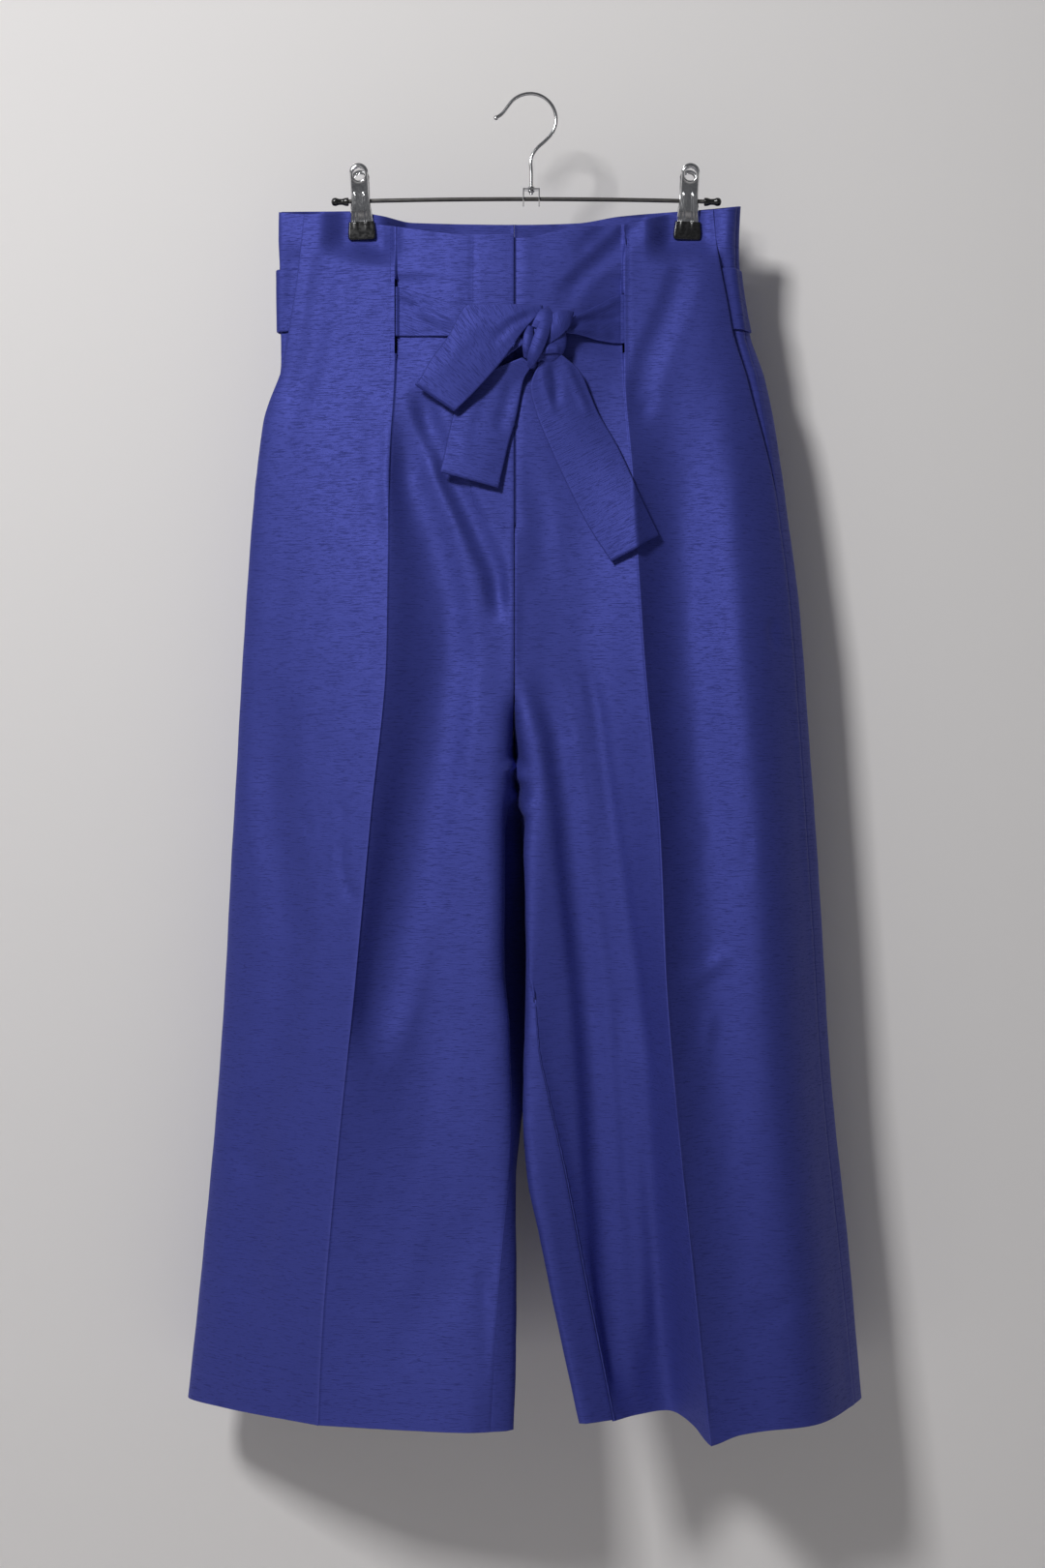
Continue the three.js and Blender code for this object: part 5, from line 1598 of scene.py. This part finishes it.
# The third colour of each is the paler one painted as a highlight on creases and folded edges.
SILK = SilkFinish("slubbed_silk", (0.055, 0.068, 0.34), (0.024, 0.030, 0.17), (0.085, 0.10, 0.44))
SILK_BELT = SilkFinish("slubbed_silk_belt", (0.047, 0.059, 0.305), (0.022, 0.028, 0.16),
                       (0.08, 0.095, 0.42))
CHROME = MetalFinish("chrome", (0.78, 0.78, 0.79), 0.16, 0.10)
WIRE_CHROME = MetalFinish("chrome_wire", (0.66, 0.66, 0.67), 0.14, 0.06)
GREY_STEEL = MetalFinish("brushed_bar", (0.16, 0.155, 0.15), 0.36, 0.2, True)
BLACK_DIP = RubberFinish("black_dip", (0.007, 0.007, 0.0075), 0.26, 0.35)


class NodeWork:
    """A node tree with short ways to add and join nodes."""

    def __init__(self, tree: bpy.types.NodeTree) -> None:
        """Keeps the tree."""
        self.tree = tree

    def add(self, kind: str, values: dict | None = None, **settings: object) -> bpy.types.Node:
        """Adds a node, sets its settings, and sets or joins its inputs.

        Args:
            kind: the node's type.
            values: input names or numbers, with a value or another node's output for each.
            settings: the node's own settings.

        Returns:
            The new node.
        """
        node = self.tree.nodes.new(kind)
        for key, value in settings.items():
            setattr(node, key, value)
        self.feed(node, values or {})
        return node

    def feed(self, node: bpy.types.Node, values: dict) -> None:
        """Sets or joins inputs of a node.

        Args:
            node: the node.
            values: input names or numbers, with a value or another node's output for each.
        """
        for key, value in values.items():
            if isinstance(value, bpy.types.NodeSocket):
                self.tree.links.new(value, node.inputs[key])
            else:
                node.inputs[key].default_value = value

    def math(self, operation: str, a: object, b: object = 0.0) -> bpy.types.NodeSocket:
        """The output of a new math node."""
        return self.add("ShaderNodeMath", {0: a, 1: b}, operation=operation).outputs[0]


def new_group(name: str, takes: dict[str, str],
              gives: dict[str, str]) -> tuple[NodeWork, bpy.types.Node, bpy.types.Node]:
    """A new shader group with named sockets.

    Args:
        name: the group's name.
        takes: input names with their socket types.
        gives: output names with their socket types.

    Returns:
        The group's node work, its input node and its output node.
    """
    tree = bpy.data.node_groups.new(name, "ShaderNodeTree")
    for label, kind in takes.items():
        tree.interface.new_socket(name=label, in_out="INPUT", socket_type=kind)
    for label, kind in gives.items():
        tree.interface.new_socket(name=label, in_out="OUTPUT", socket_type=kind)
    work = NodeWork(tree)
    return work, work.add("NodeGroupInput"), work.add("NodeGroupOutput")


class Effects:
    """The shader groups that the finishes share."""

    def __init__(self) -> None:
        """Builds every group once."""
        self.weave = self.make_weave()
        self.scratches = self.make_scratches()

    @staticmethod
    def make_weave() -> bpy.types.NodeTree:
        """Plain weave with slubs: uneven threads lying across the grain.

        Returns:
            The group's tree.
        """
        work, given, result = new_group(
            "slubbed_weave", {"Grain": "NodeSocketVector"},
            {"Slub": "NodeSocketFloat", "Cloud": "NodeSocketFloat", "Height": "NodeSocketFloat"})
        grain = given.outputs["Grain"]

        def noise(across: float, along: float, detail: float, shift: float) -> bpy.types.NodeSocket:
            """Noise in the grain map, finer one way than the other.

            Args:
                across: marks in a metre across the grain.
                along: marks in a metre along it.
                detail: how many finer layers it has.
                shift: where it is read.

            Returns:
                The noise's output.
            """
            mapped = work.add("ShaderNodeMapping", {"Vector": grain, "Scale": (across, along, 1.0),
                                                    "Location": (shift, shift * 1.7, shift * 0.3)})
            return work.add("ShaderNodeTexNoise", {"Vector": mapped.outputs[0], "Scale": 1.0,
                                                   "Detail": detail, "Roughness": 0.55}).outputs[0]

        long_slub = work.add("ShaderNodeMapRange", {0: noise(70, 1100, 2.0, 3.0), 1: 0.54, 2: 0.70})
        short_slub = work.add("ShaderNodeMapRange", {0: noise(190, 1300, 1.0, 11.0), 1: 0.56, 2: 0.74})
        slub = work.math("MAXIMUM", long_slub.outputs[0], short_slub.outputs[0])
        threads = noise(900, 3300, 1.0, 23.0)
        cloud = noise(34, 210, 4.0, 41.0)
        height = work.math("MULTIPLY_ADD", slub, 0.8)
        work.tree.links.new(threads, height.node.inputs[2])
        work.feed(result, {"Slub": slub, "Cloud": cloud, "Height": height})
        return work.tree

    @staticmethod
    def make_scratches() -> bpy.types.NodeTree:
        """Fine scratches and smears, along X where they are brushed.

        Returns:
            The group's tree.
        """
        work, given, result = new_group(
            "fine_scratches", {"Place": "NodeSocketVector", "Scale": "NodeSocketVector"},
            {"Mark": "NodeSocketFloat", "Smear": "NodeSocketFloat"})
        place = given.outputs["Place"]
        mapped = work.add("ShaderNodeMapping", {"Vector": place, "Scale": given.outputs["Scale"]})
        fine = work.add("ShaderNodeTexNoise", {"Vector": mapped.outputs[0], "Scale": 1.0, "Detail": 4.0})
        broad = work.add("ShaderNodeTexNoise", {"Vector": place, "Scale": 160.0, "Detail": 2.0})
        work.feed(result, {"Mark": fine.outputs[0], "Smear": broad.outputs[0]})
        return work.tree


def new_material(name: str) -> tuple[bpy.types.Material, NodeWork, bpy.types.Node]:
    """A new material with its node work and its Principled shader."""
    material = bpy.data.materials.new(name)
    material.use_nodes = True
    return material, NodeWork(material.node_tree), material.node_tree.nodes["Principled BSDF"]


class Materials:
    """Makes each finish's material once."""

    def __init__(self) -> None:
        """Builds the shared effects."""
        self.effects = Effects()
        self.made: dict[str, bpy.types.Material] = {}

    def begin(self, name: str) -> tuple[NodeWork, bpy.types.Node]:
        """Starts a material.

        Args:
            name: the material's name.

        Returns:
            The node work of its tree, and its Principled shader.
        """
        material, work, shader = new_material(name)
        self.made[name] = material
        return work, shader

    def silk(self, finish: SilkFinish) -> bpy.types.Material:
        """Slubbed silk along the grain map, with a paler colour painted as a highlight along creases and
        folded edges.

        Args:
            finish: the silk's looks.

        Returns:
            The material.
        """
        if finish.name in self.made:
            return self.made[finish.name]
        work, shader = self.begin(finish.name)
        grain = work.add("ShaderNodeUVMap", uv_map="grain")
        weave = work.add("ShaderNodeGroup", node_tree=self.effects.weave)
        work.feed(weave, {"Grain": grain.outputs[0]})
        painted_highlight = work.add("ShaderNodeAttribute", attribute_name="painted_highlight")
        shade = work.add("ShaderNodeMapRange", {0: weave.outputs["Cloud"], 1: 0.3, 2: 0.7, 3: 0.0,
                                                4: finish.cloud_mix})
        slub = work.math("MULTIPLY", weave.outputs["Slub"], finish.slub_mix)
        amount = work.math("MAXIMUM", slub, shade.outputs[0])
        body = work.add("ShaderNodeMix", {0: amount, 6: (*finish.body, 1), 7: (*finish.slub, 1)},
                        data_type="RGBA")
        # Paler colour painted as a highlight where the mesh marks creases and folded edges.
        highlight_share = work.math("MULTIPLY", painted_highlight.outputs["Fac"], finish.press_mix)
        colour = work.add("ShaderNodeMix", {0: highlight_share, 6: body.outputs[2], 7: (*finish.pressed, 1)},
                          data_type="RGBA")
        rough = work.add("ShaderNodeMapRange", {0: weave.outputs["Slub"], 1: 0.0, 2: 1.0,
                                                3: finish.roughness, 4: finish.roughness + 0.14})
        bump = work.add("ShaderNodeBump", {"Height": weave.outputs["Height"], "Strength": 0.6,
                                           "Distance": 0.0002})
        work.feed(shader, {
            "Base Color": colour.outputs[2], "Roughness": rough.outputs[0], "Normal": bump.outputs[0],
            "Specular IOR Level": finish.specular, "Metallic": finish.satin,
            "Sheen Weight": finish.sheen, "Sheen Roughness": 0.42, "Sheen Tint": (0.42, 0.47, 1.0, 1.0),
        })
        return self.made[finish.name]

    def metal(self, finish: MetalFinish) -> bpy.types.Material:
        """Metal with fine scratches in its gloss.

        Args:
            finish: the metal's looks.

        Returns:
            The material.
        """
        if finish.name in self.made:
            return self.made[finish.name]
        work, shader = self.begin(finish.name)
        place = work.add("ShaderNodeTexCoord")
        marks = work.add("ShaderNodeGroup", node_tree=self.effects.scratches)
        scale = (60, 4000, 4000) if finish.brushed else (1500, 1500, 500)
        work.feed(marks, {"Scale": scale, "Place": place.outputs["Object"]})
        low, high = finish.roughness - finish.scratch / 2, finish.roughness + finish.scratch
        rough = work.add("ShaderNodeMapRange", {0: marks.outputs["Mark"], 1: 0.3, 2: 0.75, 3: low,
                                                4: high})
        dull = tuple(0.8 * c for c in finish.colour)
        smear = work.add("ShaderNodeMapRange", {0: marks.outputs["Smear"], 1: 0.4, 2: 0.7})
        colour = work.add("ShaderNodeMix", {0: smear.outputs[0], 6: (*finish.colour, 1), 7: (*dull, 1)},
                          data_type="RGBA")
        bump = work.add("ShaderNodeBump", {"Height": marks.outputs["Mark"], "Strength": 0.12,
                                           "Distance": 0.00008})
        work.feed(shader, {"Base Color": colour.outputs[2], "Roughness": rough.outputs[0],
                           "Normal": bump.outputs[0], "Metallic": 1.0})
        return self.made[finish.name]

    def rubber(self, finish: RubberFinish) -> bpy.types.Material:
        """Black rubber with a faint skin from the dip.

        Args:
            finish: the rubber's looks.

        Returns:
            The material.
        """
        if finish.name in self.made:
            return self.made[finish.name]
        work, shader = self.begin(finish.name)
        place = work.add("ShaderNodeTexCoord")
        skin = work.add("ShaderNodeTexNoise", {"Vector": place.outputs["Object"], "Scale": 420.0,
                                               "Detail": 2.0})
        rough = work.add("ShaderNodeMapRange", {0: skin.outputs[0], 1: 0.35, 2: 0.65,
                                                3: finish.roughness - 0.05, 4: finish.roughness + 0.12})
        bump = work.add("ShaderNodeBump", {"Height": skin.outputs[0], "Strength": 0.2,
                                           "Distance": 0.0002})
        work.feed(shader, {"Base Color": (*finish.colour, 1), "Coat Weight": finish.coat,
                           "Coat Roughness": 0.12, "Roughness": rough.outputs[0],
                           "Normal": bump.outputs[0]})
        return self.made[finish.name]


def dress(made: bpy.types.Object, material: bpy.types.Material, slot: str, *nodes: str) -> None:
    """Gives a piece its material and its body, and hides the CAD nodes that it stands for.

    Args:
        made: the piece.
        material: its material.
        slot: not used.
        nodes: the CAD nodes that it stands for.
    """
    made.data.materials.clear()
    made.data.materials.append(material)
    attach(made, "root")
    if nodes:
        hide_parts(*nodes)
    LOG.info("%s: %d faces", made.name, len(made.data.polygons))


@dataclass
class Hanger:
    """The hanger's wire hook, saddle, bar and end caps."""

    wire: float = 1.4
    crown_x: float = 1.5
    crown_radius: float = 20.0
    stem_x: float = 2.3
    plate_z: float = -72.6
    bar_z: float = -82.6
    bar_rise: float = 2.2
    bar_ends: tuple[float, float] = (-150.0, 147.0)
    bar_reach: float = 150.0
    bar_radius: float = 1.6
    tip: tuple[float, float, float] = (-25.0, 0.0, -17.4)
    tip_radius: float = 1.9
    rivet_radius: float = 2.6
    rivet_flat: float = 0.42
    saddle_half: float = 6.6
    saddle_deep: float = 3.5
    saddle_sheet: float = 1.0
    cap_long: float = 13.5
    cap_over: float = 2.7
    cap_turns: int = 36

    def bar_height(self, x: float) -> float:
        """How high the bar's middle line is at x."""
        middle = sum(self.bar_ends) / 2
        return self.bar_z + self.bar_rise * (1 - ((x - middle) / self.bar_reach) ** 2)

    @staticmethod
    def rod(name: str, points: list[tuple[float, float, float]], radius: float) -> bpy.types.Object:
        """A round rod along a smooth line, closed at its ends.

        Args:
            name: the object's name.
            points: places on its middle line, in millimetres.
            radius: its radius.

        Returns:
            The object, as a mesh.
        """
        curve = bpy.data.curves.new(name, "CURVE")
        curve.dimensions = "3D"
        curve.bevel_depth = radius * MM
        curve.bevel_resolution = 6
        curve.resolution_u = 10
        curve.use_fill_caps = True
        spline = curve.splines.new("BEZIER")
        spline.bezier_points.add(len(points) - 1)
        for knot, place in zip(spline.bezier_points, points):
            knot.co = Vector(place) * MM
            knot.handle_left_type = knot.handle_right_type = "AUTO"
        made = new_object(name, curve)
        deselect()
        made.select_set(True)
        bpy.context.view_layer.objects.active = made
        bpy.ops.object.convert(target="MESH")
        made = bpy.context.object
        made.data.polygons.foreach_set("use_smooth", [True] * len(made.data.polygons))
        return made

    def hook(self) -> bpy.types.Object:
        """The hook with the ball at its tip and its riveted foot.

        Returns:
            The object.
        """
        middle_z = self.wire - self.crown_radius
        points = [(-24.8, 0, -17.2), (-20.6, 0, -14.4)]
        for a in range(148, -49, -14):
            turn = math.radians(a)
            points.append((self.crown_x + self.crown_radius * math.cos(turn), 0,
                           middle_z + self.crown_radius * math.sin(turn)))
        points += [(5.2, 0, -43), (self.stem_x, 0, -49), (self.stem_x, 0, -60), (self.stem_x, 0, -77)]
        made = self.rod("steel_hook", points, self.wire)
        radius, rivet = self.tip_radius, self.rivet_radius
        pieces = [ball(Vector(self.tip), Vector((radius, radius, radius)))]
        for z in (self.plate_z + 1.2, self.plate_z - 2.0):
            radii = Vector((rivet, rivet, rivet * self.rivet_flat))
            pieces.append(ball(Vector((self.stem_x, 0, z)), radii))
        return join(made, pieces)

    def saddle(self) -> bpy.types.Object:
        """The bent strip over the bar, with its two pointed legs.

        Returns:
            The object.
        """
        half, sheet, deep = self.saddle_half, self.saddle_sheet, self.saddle_deep
        legs = []
        outline = [(-deep, 0), (deep, 0), (deep, -9), (1.2, -13.5), (-1.2, -13.5), (-deep, -9)]
        ring = len(outline)
        faces = [tuple(range(ring))[::-1], tuple(range(ring, 2 * ring))]
        faces += [(i, (i + 1) % ring, ring + (i + 1) % ring, ring + i) for i in range(ring)]
        for x in (self.stem_x - half, self.stem_x + half - sheet):
            points = [(x + dx, y, self.plate_z - 0.1 + z) for dx in (0, sheet) for y, z in outline]
            legs.append(mesh_object("steel_leg", np.array(points), faces, False))
        top = box(Vector((self.stem_x, 0, self.plate_z - sheet / 2)), Vector((2 * half, 2 * deep, sheet)))
        top.name = "steel_saddle"
        join(top, legs)
        bevel = top.modifiers.new("edges", "BEVEL")
        bevel.width = 0.25 * MM
        bevel.segments = 2
        bevel.limit_method = "ANGLE"
        return apply_all(top)

    def bar(self) -> bpy.types.Object:
        """The long bar, a little arched."""
        xs = np.linspace(*self.bar_ends, 9)
        return self.rod("steel_bar", [(x, 0, self.bar_height(x)) for x in xs], self.bar_radius)

    def cap(self, side: Side) -> bpy.types.Object:
        """The waisted rubber cap on one end of the bar.

        Args:
            side: the wearer's side.

        Returns:
            The object.
        """
        profile = Line((0, 0.4), (0.5, 1.8), (1.4, 2.8), (3.2, 3.2), (6, 2.4), (8, 2.3), (11, 3.1),
                       (12.9, 3.25), (self.cap_long, 2.6))
        end = self.bar_ends[0] if side is Side.RIGHT else self.bar_ends[1]
        tip = end + side.value * self.cap_over
        stops, turns = np.linspace(0, self.cap_long, 40), self.cap_turns
        points = []
        for s, r in zip(stops, profile(stops)):
            for k in range(turns):
                a = 2 * math.pi * k / turns
                high = self.bar_height(end) + r * math.sin(a)
                points.append((tip - side.value * s, r * math.cos(a), high))
        faces = []
        for j in range(len(stops) - 1):
            for k in range(turns):
                a, b = j * turns + k, j * turns + (k + 1) % turns
                faces.append((a, b, b + turns, a + turns))
        faces += [tuple(range(turns))[::-1], tuple((len(stops) - 1) * turns + k for k in range(turns))]
        return facing_out(mesh_object("rubber_end_cap_" + side.tag, np.array(points), faces))

    def build(self, materials: Materials) -> None:
        """Makes and dresses the hanger.

        Args:
            materials: the finishes' materials.
        """
        dress(self.hook(), materials.metal(WIRE_CHROME), "bright_steel", "hanger_hook")
        dress(self.saddle(), materials.metal(CHROME), "bright_steel", "hanger_saddle")
        dress(self.bar(), materials.metal(GREY_STEEL), "grey_bar", "hanger_bar")
        for side in Side:
            dress(self.cap(side), materials.rubber(BLACK_DIP), "black_rubber", "end_cap_" + side.tag)


@dataclass
class Clip:
    """One clip: two pressed plates on the bar, a spring between them and a dipped jaw on each."""

    side: Side
    hanger: Hanger
    mouth: float = -98.3
    bottom: float = -112.9
    sheet: float = 0.8
    jaw_thick: float = 3.2
    jaw_half: tuple[float, float] = (10.0, 10.8)
    jaw_corner: float = 2.9
    jaw_soft: float = 1.3
    jaw_cells: tuple[int, int] = (41, 30)
    tilt: float = 2.6
    top: float = -55.25
    round_z: float = -62.4
    round_radius: float = 7.2
    hole_z: float = -63.2
    hole_radius: float = 4.5
    ear_x: float = 6.2
    ear_inset: float = 1.1
    ear_deep: float = 8.6
    ear_high: float = 8.4
    ear_z: float = -82.0
    bore_radius: float = 2.6
    spring_turns: float = 6.5
    spring_radius: float = 3.3
    spring_wire: float = 0.5
    spring_half: float = 3.2

    def __post_init__(self) -> None:
        """Works out the lines down a plate."""
        self.x = CLIP_X[self.side.tag]
        self.inner = CLIP_NIP + SEAM_GAP
        tongue = self.inner + (self.jaw_thick + self.sheet) / 2
        self.depth = Line((-55, 10.4), (-66, 8.6), (-76, 6.6), (self.ear_z, 6), (-90, 5),
                          (self.mouth, tongue), (-112, tongue))
        self.half = Line((-62, 7), (-70, 7), (-80, 7), (-92, 8.3), (-98, 9), (-108, 9))

    def placed(self, made: bpy.types.Object) -> bpy.types.Object:
        """Tilts a finished mesh about the jaw's foot.

        Args:
            made: the piece.

        Returns:
            The same piece.
        """
        turn = math.radians(self.side.value * self.tilt)
        count = len(made.data.vertices)
        places = np.empty(count * 3, np.float32)
        made.data.vertices.foreach_get("co", places)
        places = places.reshape(-1, 3)
        x, z = places[:, 0] - self.x * MM, places[:, 2] - self.bottom * MM
        places[:, 0] = self.x * MM + x * math.cos(turn) + z * math.sin(turn)
        places[:, 2] = self.bottom * MM - x * math.sin(turn) + z * math.cos(turn)
        made.data.vertices.foreach_set("co", places.ravel())
        made.data.update()
        return made

    def plate(self, sign: int, name: str) -> bpy.types.Object:
        """A pressed plate with its dished hole, two ribs, flanges and ears.

        Args:
            sign: -1 for the front plate and 1 for the back one.
            name: the object's name.

        Returns:
            The object.
        """
        heights = np.concatenate([np.linspace(self.top, self.round_z, 14),
                                  np.linspace(-63, self.mouth - 2, 60)])
        across = np.linspace(-1, 1, 49)[None, :]
        over = np.clip(heights - self.round_z, 0, None)
        rounded = np.sqrt(np.clip(self.round_radius**2 - over**2, 0.4, None))
        half = np.where(over > 0, rounded, self.half(heights))[:, None]
        x = self.x + across * half
        z = np.broadcast_to(heights[:, None], x.shape)
        rib = np.exp(-(((np.abs(across) - 0.5) / 0.17) ** 4)) * smoothstep((-z - 76.5) / 2.5)
        flange = smoothstep((np.abs(across) - 0.86) / 0.14) * smoothstep((-z - 58) / 6)
        away = np.hypot(x - self.x, z - self.hole_z)
        dish = bump_at(away - 5.6, 0.9) * 0.35 - smoothstep(5.4 - away, 0, 1.2) * 1.2
        y = sign * (self.depth(z) + rib * 0.95 - flange * 1.5 + dish)
        sheet = Sheet(np.stack([x, y, z], -1), float(sign), self.sheet)
        middle = (away[:-1, :-1] + away[1:, 1:]) / 2
        sheet.open = middle < self.hole_radius
        return self.placed(join(sheet.build(name), self.ears(sign)))

    def ears(self, sign: int) -> list[bpy.types.Object]:
        """A plate's two ears, bored for the bar.

        Args:
            sign: -1 for the front plate and 1 for the back one, whose ears lie inside the front's.

        Returns:
            The ears.
        """
        bar_z = self.hanger.bar_height(self.x)
        out = self.ear_x - (0.0 if sign < 0 else self.ear_inset)
        y = sign * (float(self.depth(np.array(self.ear_z))) - 0.4 - self.ear_deep / 2)
        size = Vector((self.sheet, self.ear_deep, self.ear_high))
        ears = [box(Vector((self.x + way * out, y, bar_z)), size) for way in (-1, 1)]
        bpy.ops.mesh.primitive_cylinder_add(vertices=40, radius=self.bore_radius * MM, depth=24 * MM,
                                            location=Vector((self.x, 0, bar_z)) * MM,
                                            rotation=(0, math.pi / 2, 0))
        bore = bpy.context.object
        for ear in ears:
            cut = ear.modifiers.new("bore", "BOOLEAN")
            cut.object = bore
            apply_all(ear)
        bpy.data.objects.remove(bore)
        return ears

    def jaw(self, sign: int, name: str) -> bpy.types.Object:
        """A jaw dipped in black, with soft edges and the ribs showing through.

        Args:
            sign: -1 for the front jaw and 1 for the back one.
            name: the object's name.

        Returns:
            The object.
        """
        wide, high = self.jaw_cells
        u = np.abs(np.linspace(-1, 1, wide))[None, :]
        w = np.linspace(0, 1, high)[:, None]
        z = mix(self.mouth, self.bottom, w) * np.ones((1, wide))
        half = mix(*self.jaw_half, smoothstep(w / 0.7)) * np.ones((1, wide))
        low = np.clip((self.bottom + self.jaw_corner - z) / self.jaw_corner, 0, 1)
        half = half - self.jaw_corner * (1 - np.sqrt(np.clip(1 - low**2, 0, 1)))
        x = self.x + np.linspace(-1, 1, wide)[None, :] * half
        edge = (1 - u) * half
        end = np.minimum(z - self.bottom, self.mouth - z)
        near = np.minimum(np.clip(edge / self.jaw_soft, 0, 1), np.clip(end / self.jaw_soft, 0, 1))
        swell = np.sqrt(np.clip(1 - (1 - near) ** 2, 0, 1))
        thick = self.jaw_thick / 2
        middle = self.inner + thick
        rib = np.exp(-(((u - 0.42) / 0.14) ** 4)) * (1 - smoothstep(w / 0.62)) * 0.45
        outer = np.stack([x, sign * (middle + thick * swell + rib * swell), z], -1)
        inside = np.stack([x, sign * (middle - thick * swell), z], -1)
        quads = grid_faces(np.ones((high - 1, wide - 1), bool))
        faces = [*map(tuple, quads.tolist()), *map(tuple, (quads[:, ::-1] + wide * high).tolist())]
        made = mesh_object(name, np.concatenate([outer.reshape(-1, 3), inside.reshape(-1, 3)]), faces)
        return self.placed(facing_out(made, 0.02 * MM))

    def spring(self) -> bpy.types.Object:
        """The coiled spring round the bar, between the plates.

        Returns:
            The object.
        """
        bar_z, steps = self.hanger.bar_height(self.x), int(self.spring_turns * 10)
        points = []
        for k in range(steps + 1):
            a = 2 * math.pi * k / 10
            x = self.x + mix(-self.spring_half, self.spring_half, k / steps)
            points.append((x, self.spring_radius * math.cos(a), bar_z + self.spring_radius * math.sin(a)))
        return self.placed(Hanger.rod("steel_clip_spring_" + self.side.tag, points, self.spring_wire))

    def build(self, materials: Materials) -> None:
        """Makes and dresses the clip.

        Args:
            materials: the finishes' materials.
        """
        tag = self.side.tag
        for sign, where in ((-1, "front"), (1, "back")):
            dress(self.plate(sign, f"steel_clip_{tag}_{where}"), materials.metal(CHROME), "bright_steel",
                  f"clip_{tag}_{where}")
            dress(self.jaw(sign, f"rubber_clip_{tag}_{where}"), materials.rubber(BLACK_DIP),
                  "black_rubber", f"clip_{tag}_jaw_{where}")
        dress(self.spring(), materials.metal(WIRE_CHROME), "bright_steel", f"clip_{tag}_spring")


@dataclass
class Studio:
    """The pale wall and floor, the lights and the camera."""

    wall_y: float = 0.074
    floor_z: float = -1.45
    lens: float = 51.85

    def stage(self) -> None:
        """A pale wall close behind the trousers, clear from behind, and a floor well below them."""
        material, work, shader = new_material("pale_wall")
        place = work.add("ShaderNodeTexCoord")
        grain = work.add("ShaderNodeTexNoise", {"Vector": place.outputs["Object"], "Scale": 900.0})
        bump = work.add("ShaderNodeBump", {"Height": grain.outputs[0], "Strength": 0.05,
                                           "Distance": 0.0005})
        work.feed(shader, {"Base Color": (0.84, 0.82, 0.81, 1), "Roughness": 0.9,
                           "Specular IOR Level": 0.1, "Normal": bump.outputs[0]})
        clear = work.add("ShaderNodeBsdfTransparent")
        behind = work.add("ShaderNodeNewGeometry")
        both = work.add("ShaderNodeMixShader", {0: behind.outputs["Backfacing"], 1: shader.outputs[0],
                                                2: clear.outputs[0]})
        work.feed(material.node_tree.nodes["Material Output"], {"Surface": both.outputs[0]})
        y, z = self.wall_y, self.floor_z
        for name, corners in (
            ("stage_wall", ((-4, y, -3), (4, y, -3), (4, y, 3), (-4, y, 3))),
            ("stage_floor", ((-4, -6, z), (4, -6, z), (4, 5, z), (-4, 5, z))),
        ):
            made = mesh_object(name, np.array(corners) / MM, [(0, 1, 2, 3)], False)
            made.data.materials.append(material)

    @staticmethod
    def lamp(name: str, place: tuple[float, float, float], size: float, power: float) -> None:
        """A square soft light that looks at the middle of the trousers.

        Args:
            name: the light's name.
            place: where it stands, in metres.
            size: its side.
            power: its power in watts.
        """
        light = bpy.data.lights.new(name, "AREA")
        light.shape = "SQUARE"
        light.size = size
        light.energy = power
        made = new_object(name, light)
        made.location = place
        made.rotation_euler = (Vector((0, 0, -0.5)) - Vector(place)).to_track_quat("-Z", "Y").to_euler()

    def lights(self) -> None:
        """A soft light from the upper left, a weak wide one from the right, and the room's own light."""
        self.lamp("key_light", (-1.0, -1.8, 0.78), 0.4, 37)
        self.lamp("fill_light", (2.0, -2.4, -0.2), 1.6, 1.0)
        world = bpy.data.worlds.new("room")
        world.use_nodes = True
        world.node_tree.nodes["Background"].inputs["Color"].default_value = (0.92, 0.94, 1.0, 1)
        world.node_tree.nodes["Background"].inputs["Strength"].default_value = 0.10
        bpy.context.scene.world = world

    def camera(self) -> None:
        """The camera, level and square to the hanger, with plain tones."""
        bpy.context.scene.view_settings.view_transform = "Standard"
        data = bpy.data.cameras.new("camera")
        data.lens = self.lens
        data.sensor_width = 36.0
        made = new_object("camera", data)
        made.location = Vector(VIEW) * MM
        made.rotation_euler = (math.pi / 2, 0, 0)
        bpy.context.scene.camera = made


def declare_sheets(panels: Panels) -> None:
    """Works out the outer face's area of every panel and side piece, and keeps none of it.

    Args:
        panels: the panels and side pieces, with their sheets.
    """
    for name, sheet in panels.sheets.items():
        area = sheet.area()


def main() -> None:
    """Builds the trousers, the hanger and the studio."""
    materials = Materials()
    panels = Panels()
    pieces = panels.build()
    belt = Belt(Lying(panels.plain_fronts))
    pieces.update(belt.build())
    for name, made in pieces.items():
        if name.startswith("belt"):
            dress(made, materials.silk(SILK_BELT), "silk_belt", name)
        else:
            slot = "silk_back" if name.startswith("back") else "silk"
            dress(made, materials.silk(SILK), slot, name)
    fronts = [panels.sheets[f"front_panel_{side.tag}"].points for side in Side]
    stitching = Stitching().build(Lying(fronts))
    dress(stitching, materials.silk(SILK_BELT), "silk")
    declare_sheets(panels)
    hanger = Hanger()
    hanger.build(materials)
    for side in Side:
        Clip(side, hanger).build(materials)
    studio = Studio()
    studio.stage()
    studio.lights()
    studio.camera()


if __name__ == "__main__":
    logging.basicConfig(level=logging.INFO, format="%(name)s %(message)s")
    main()
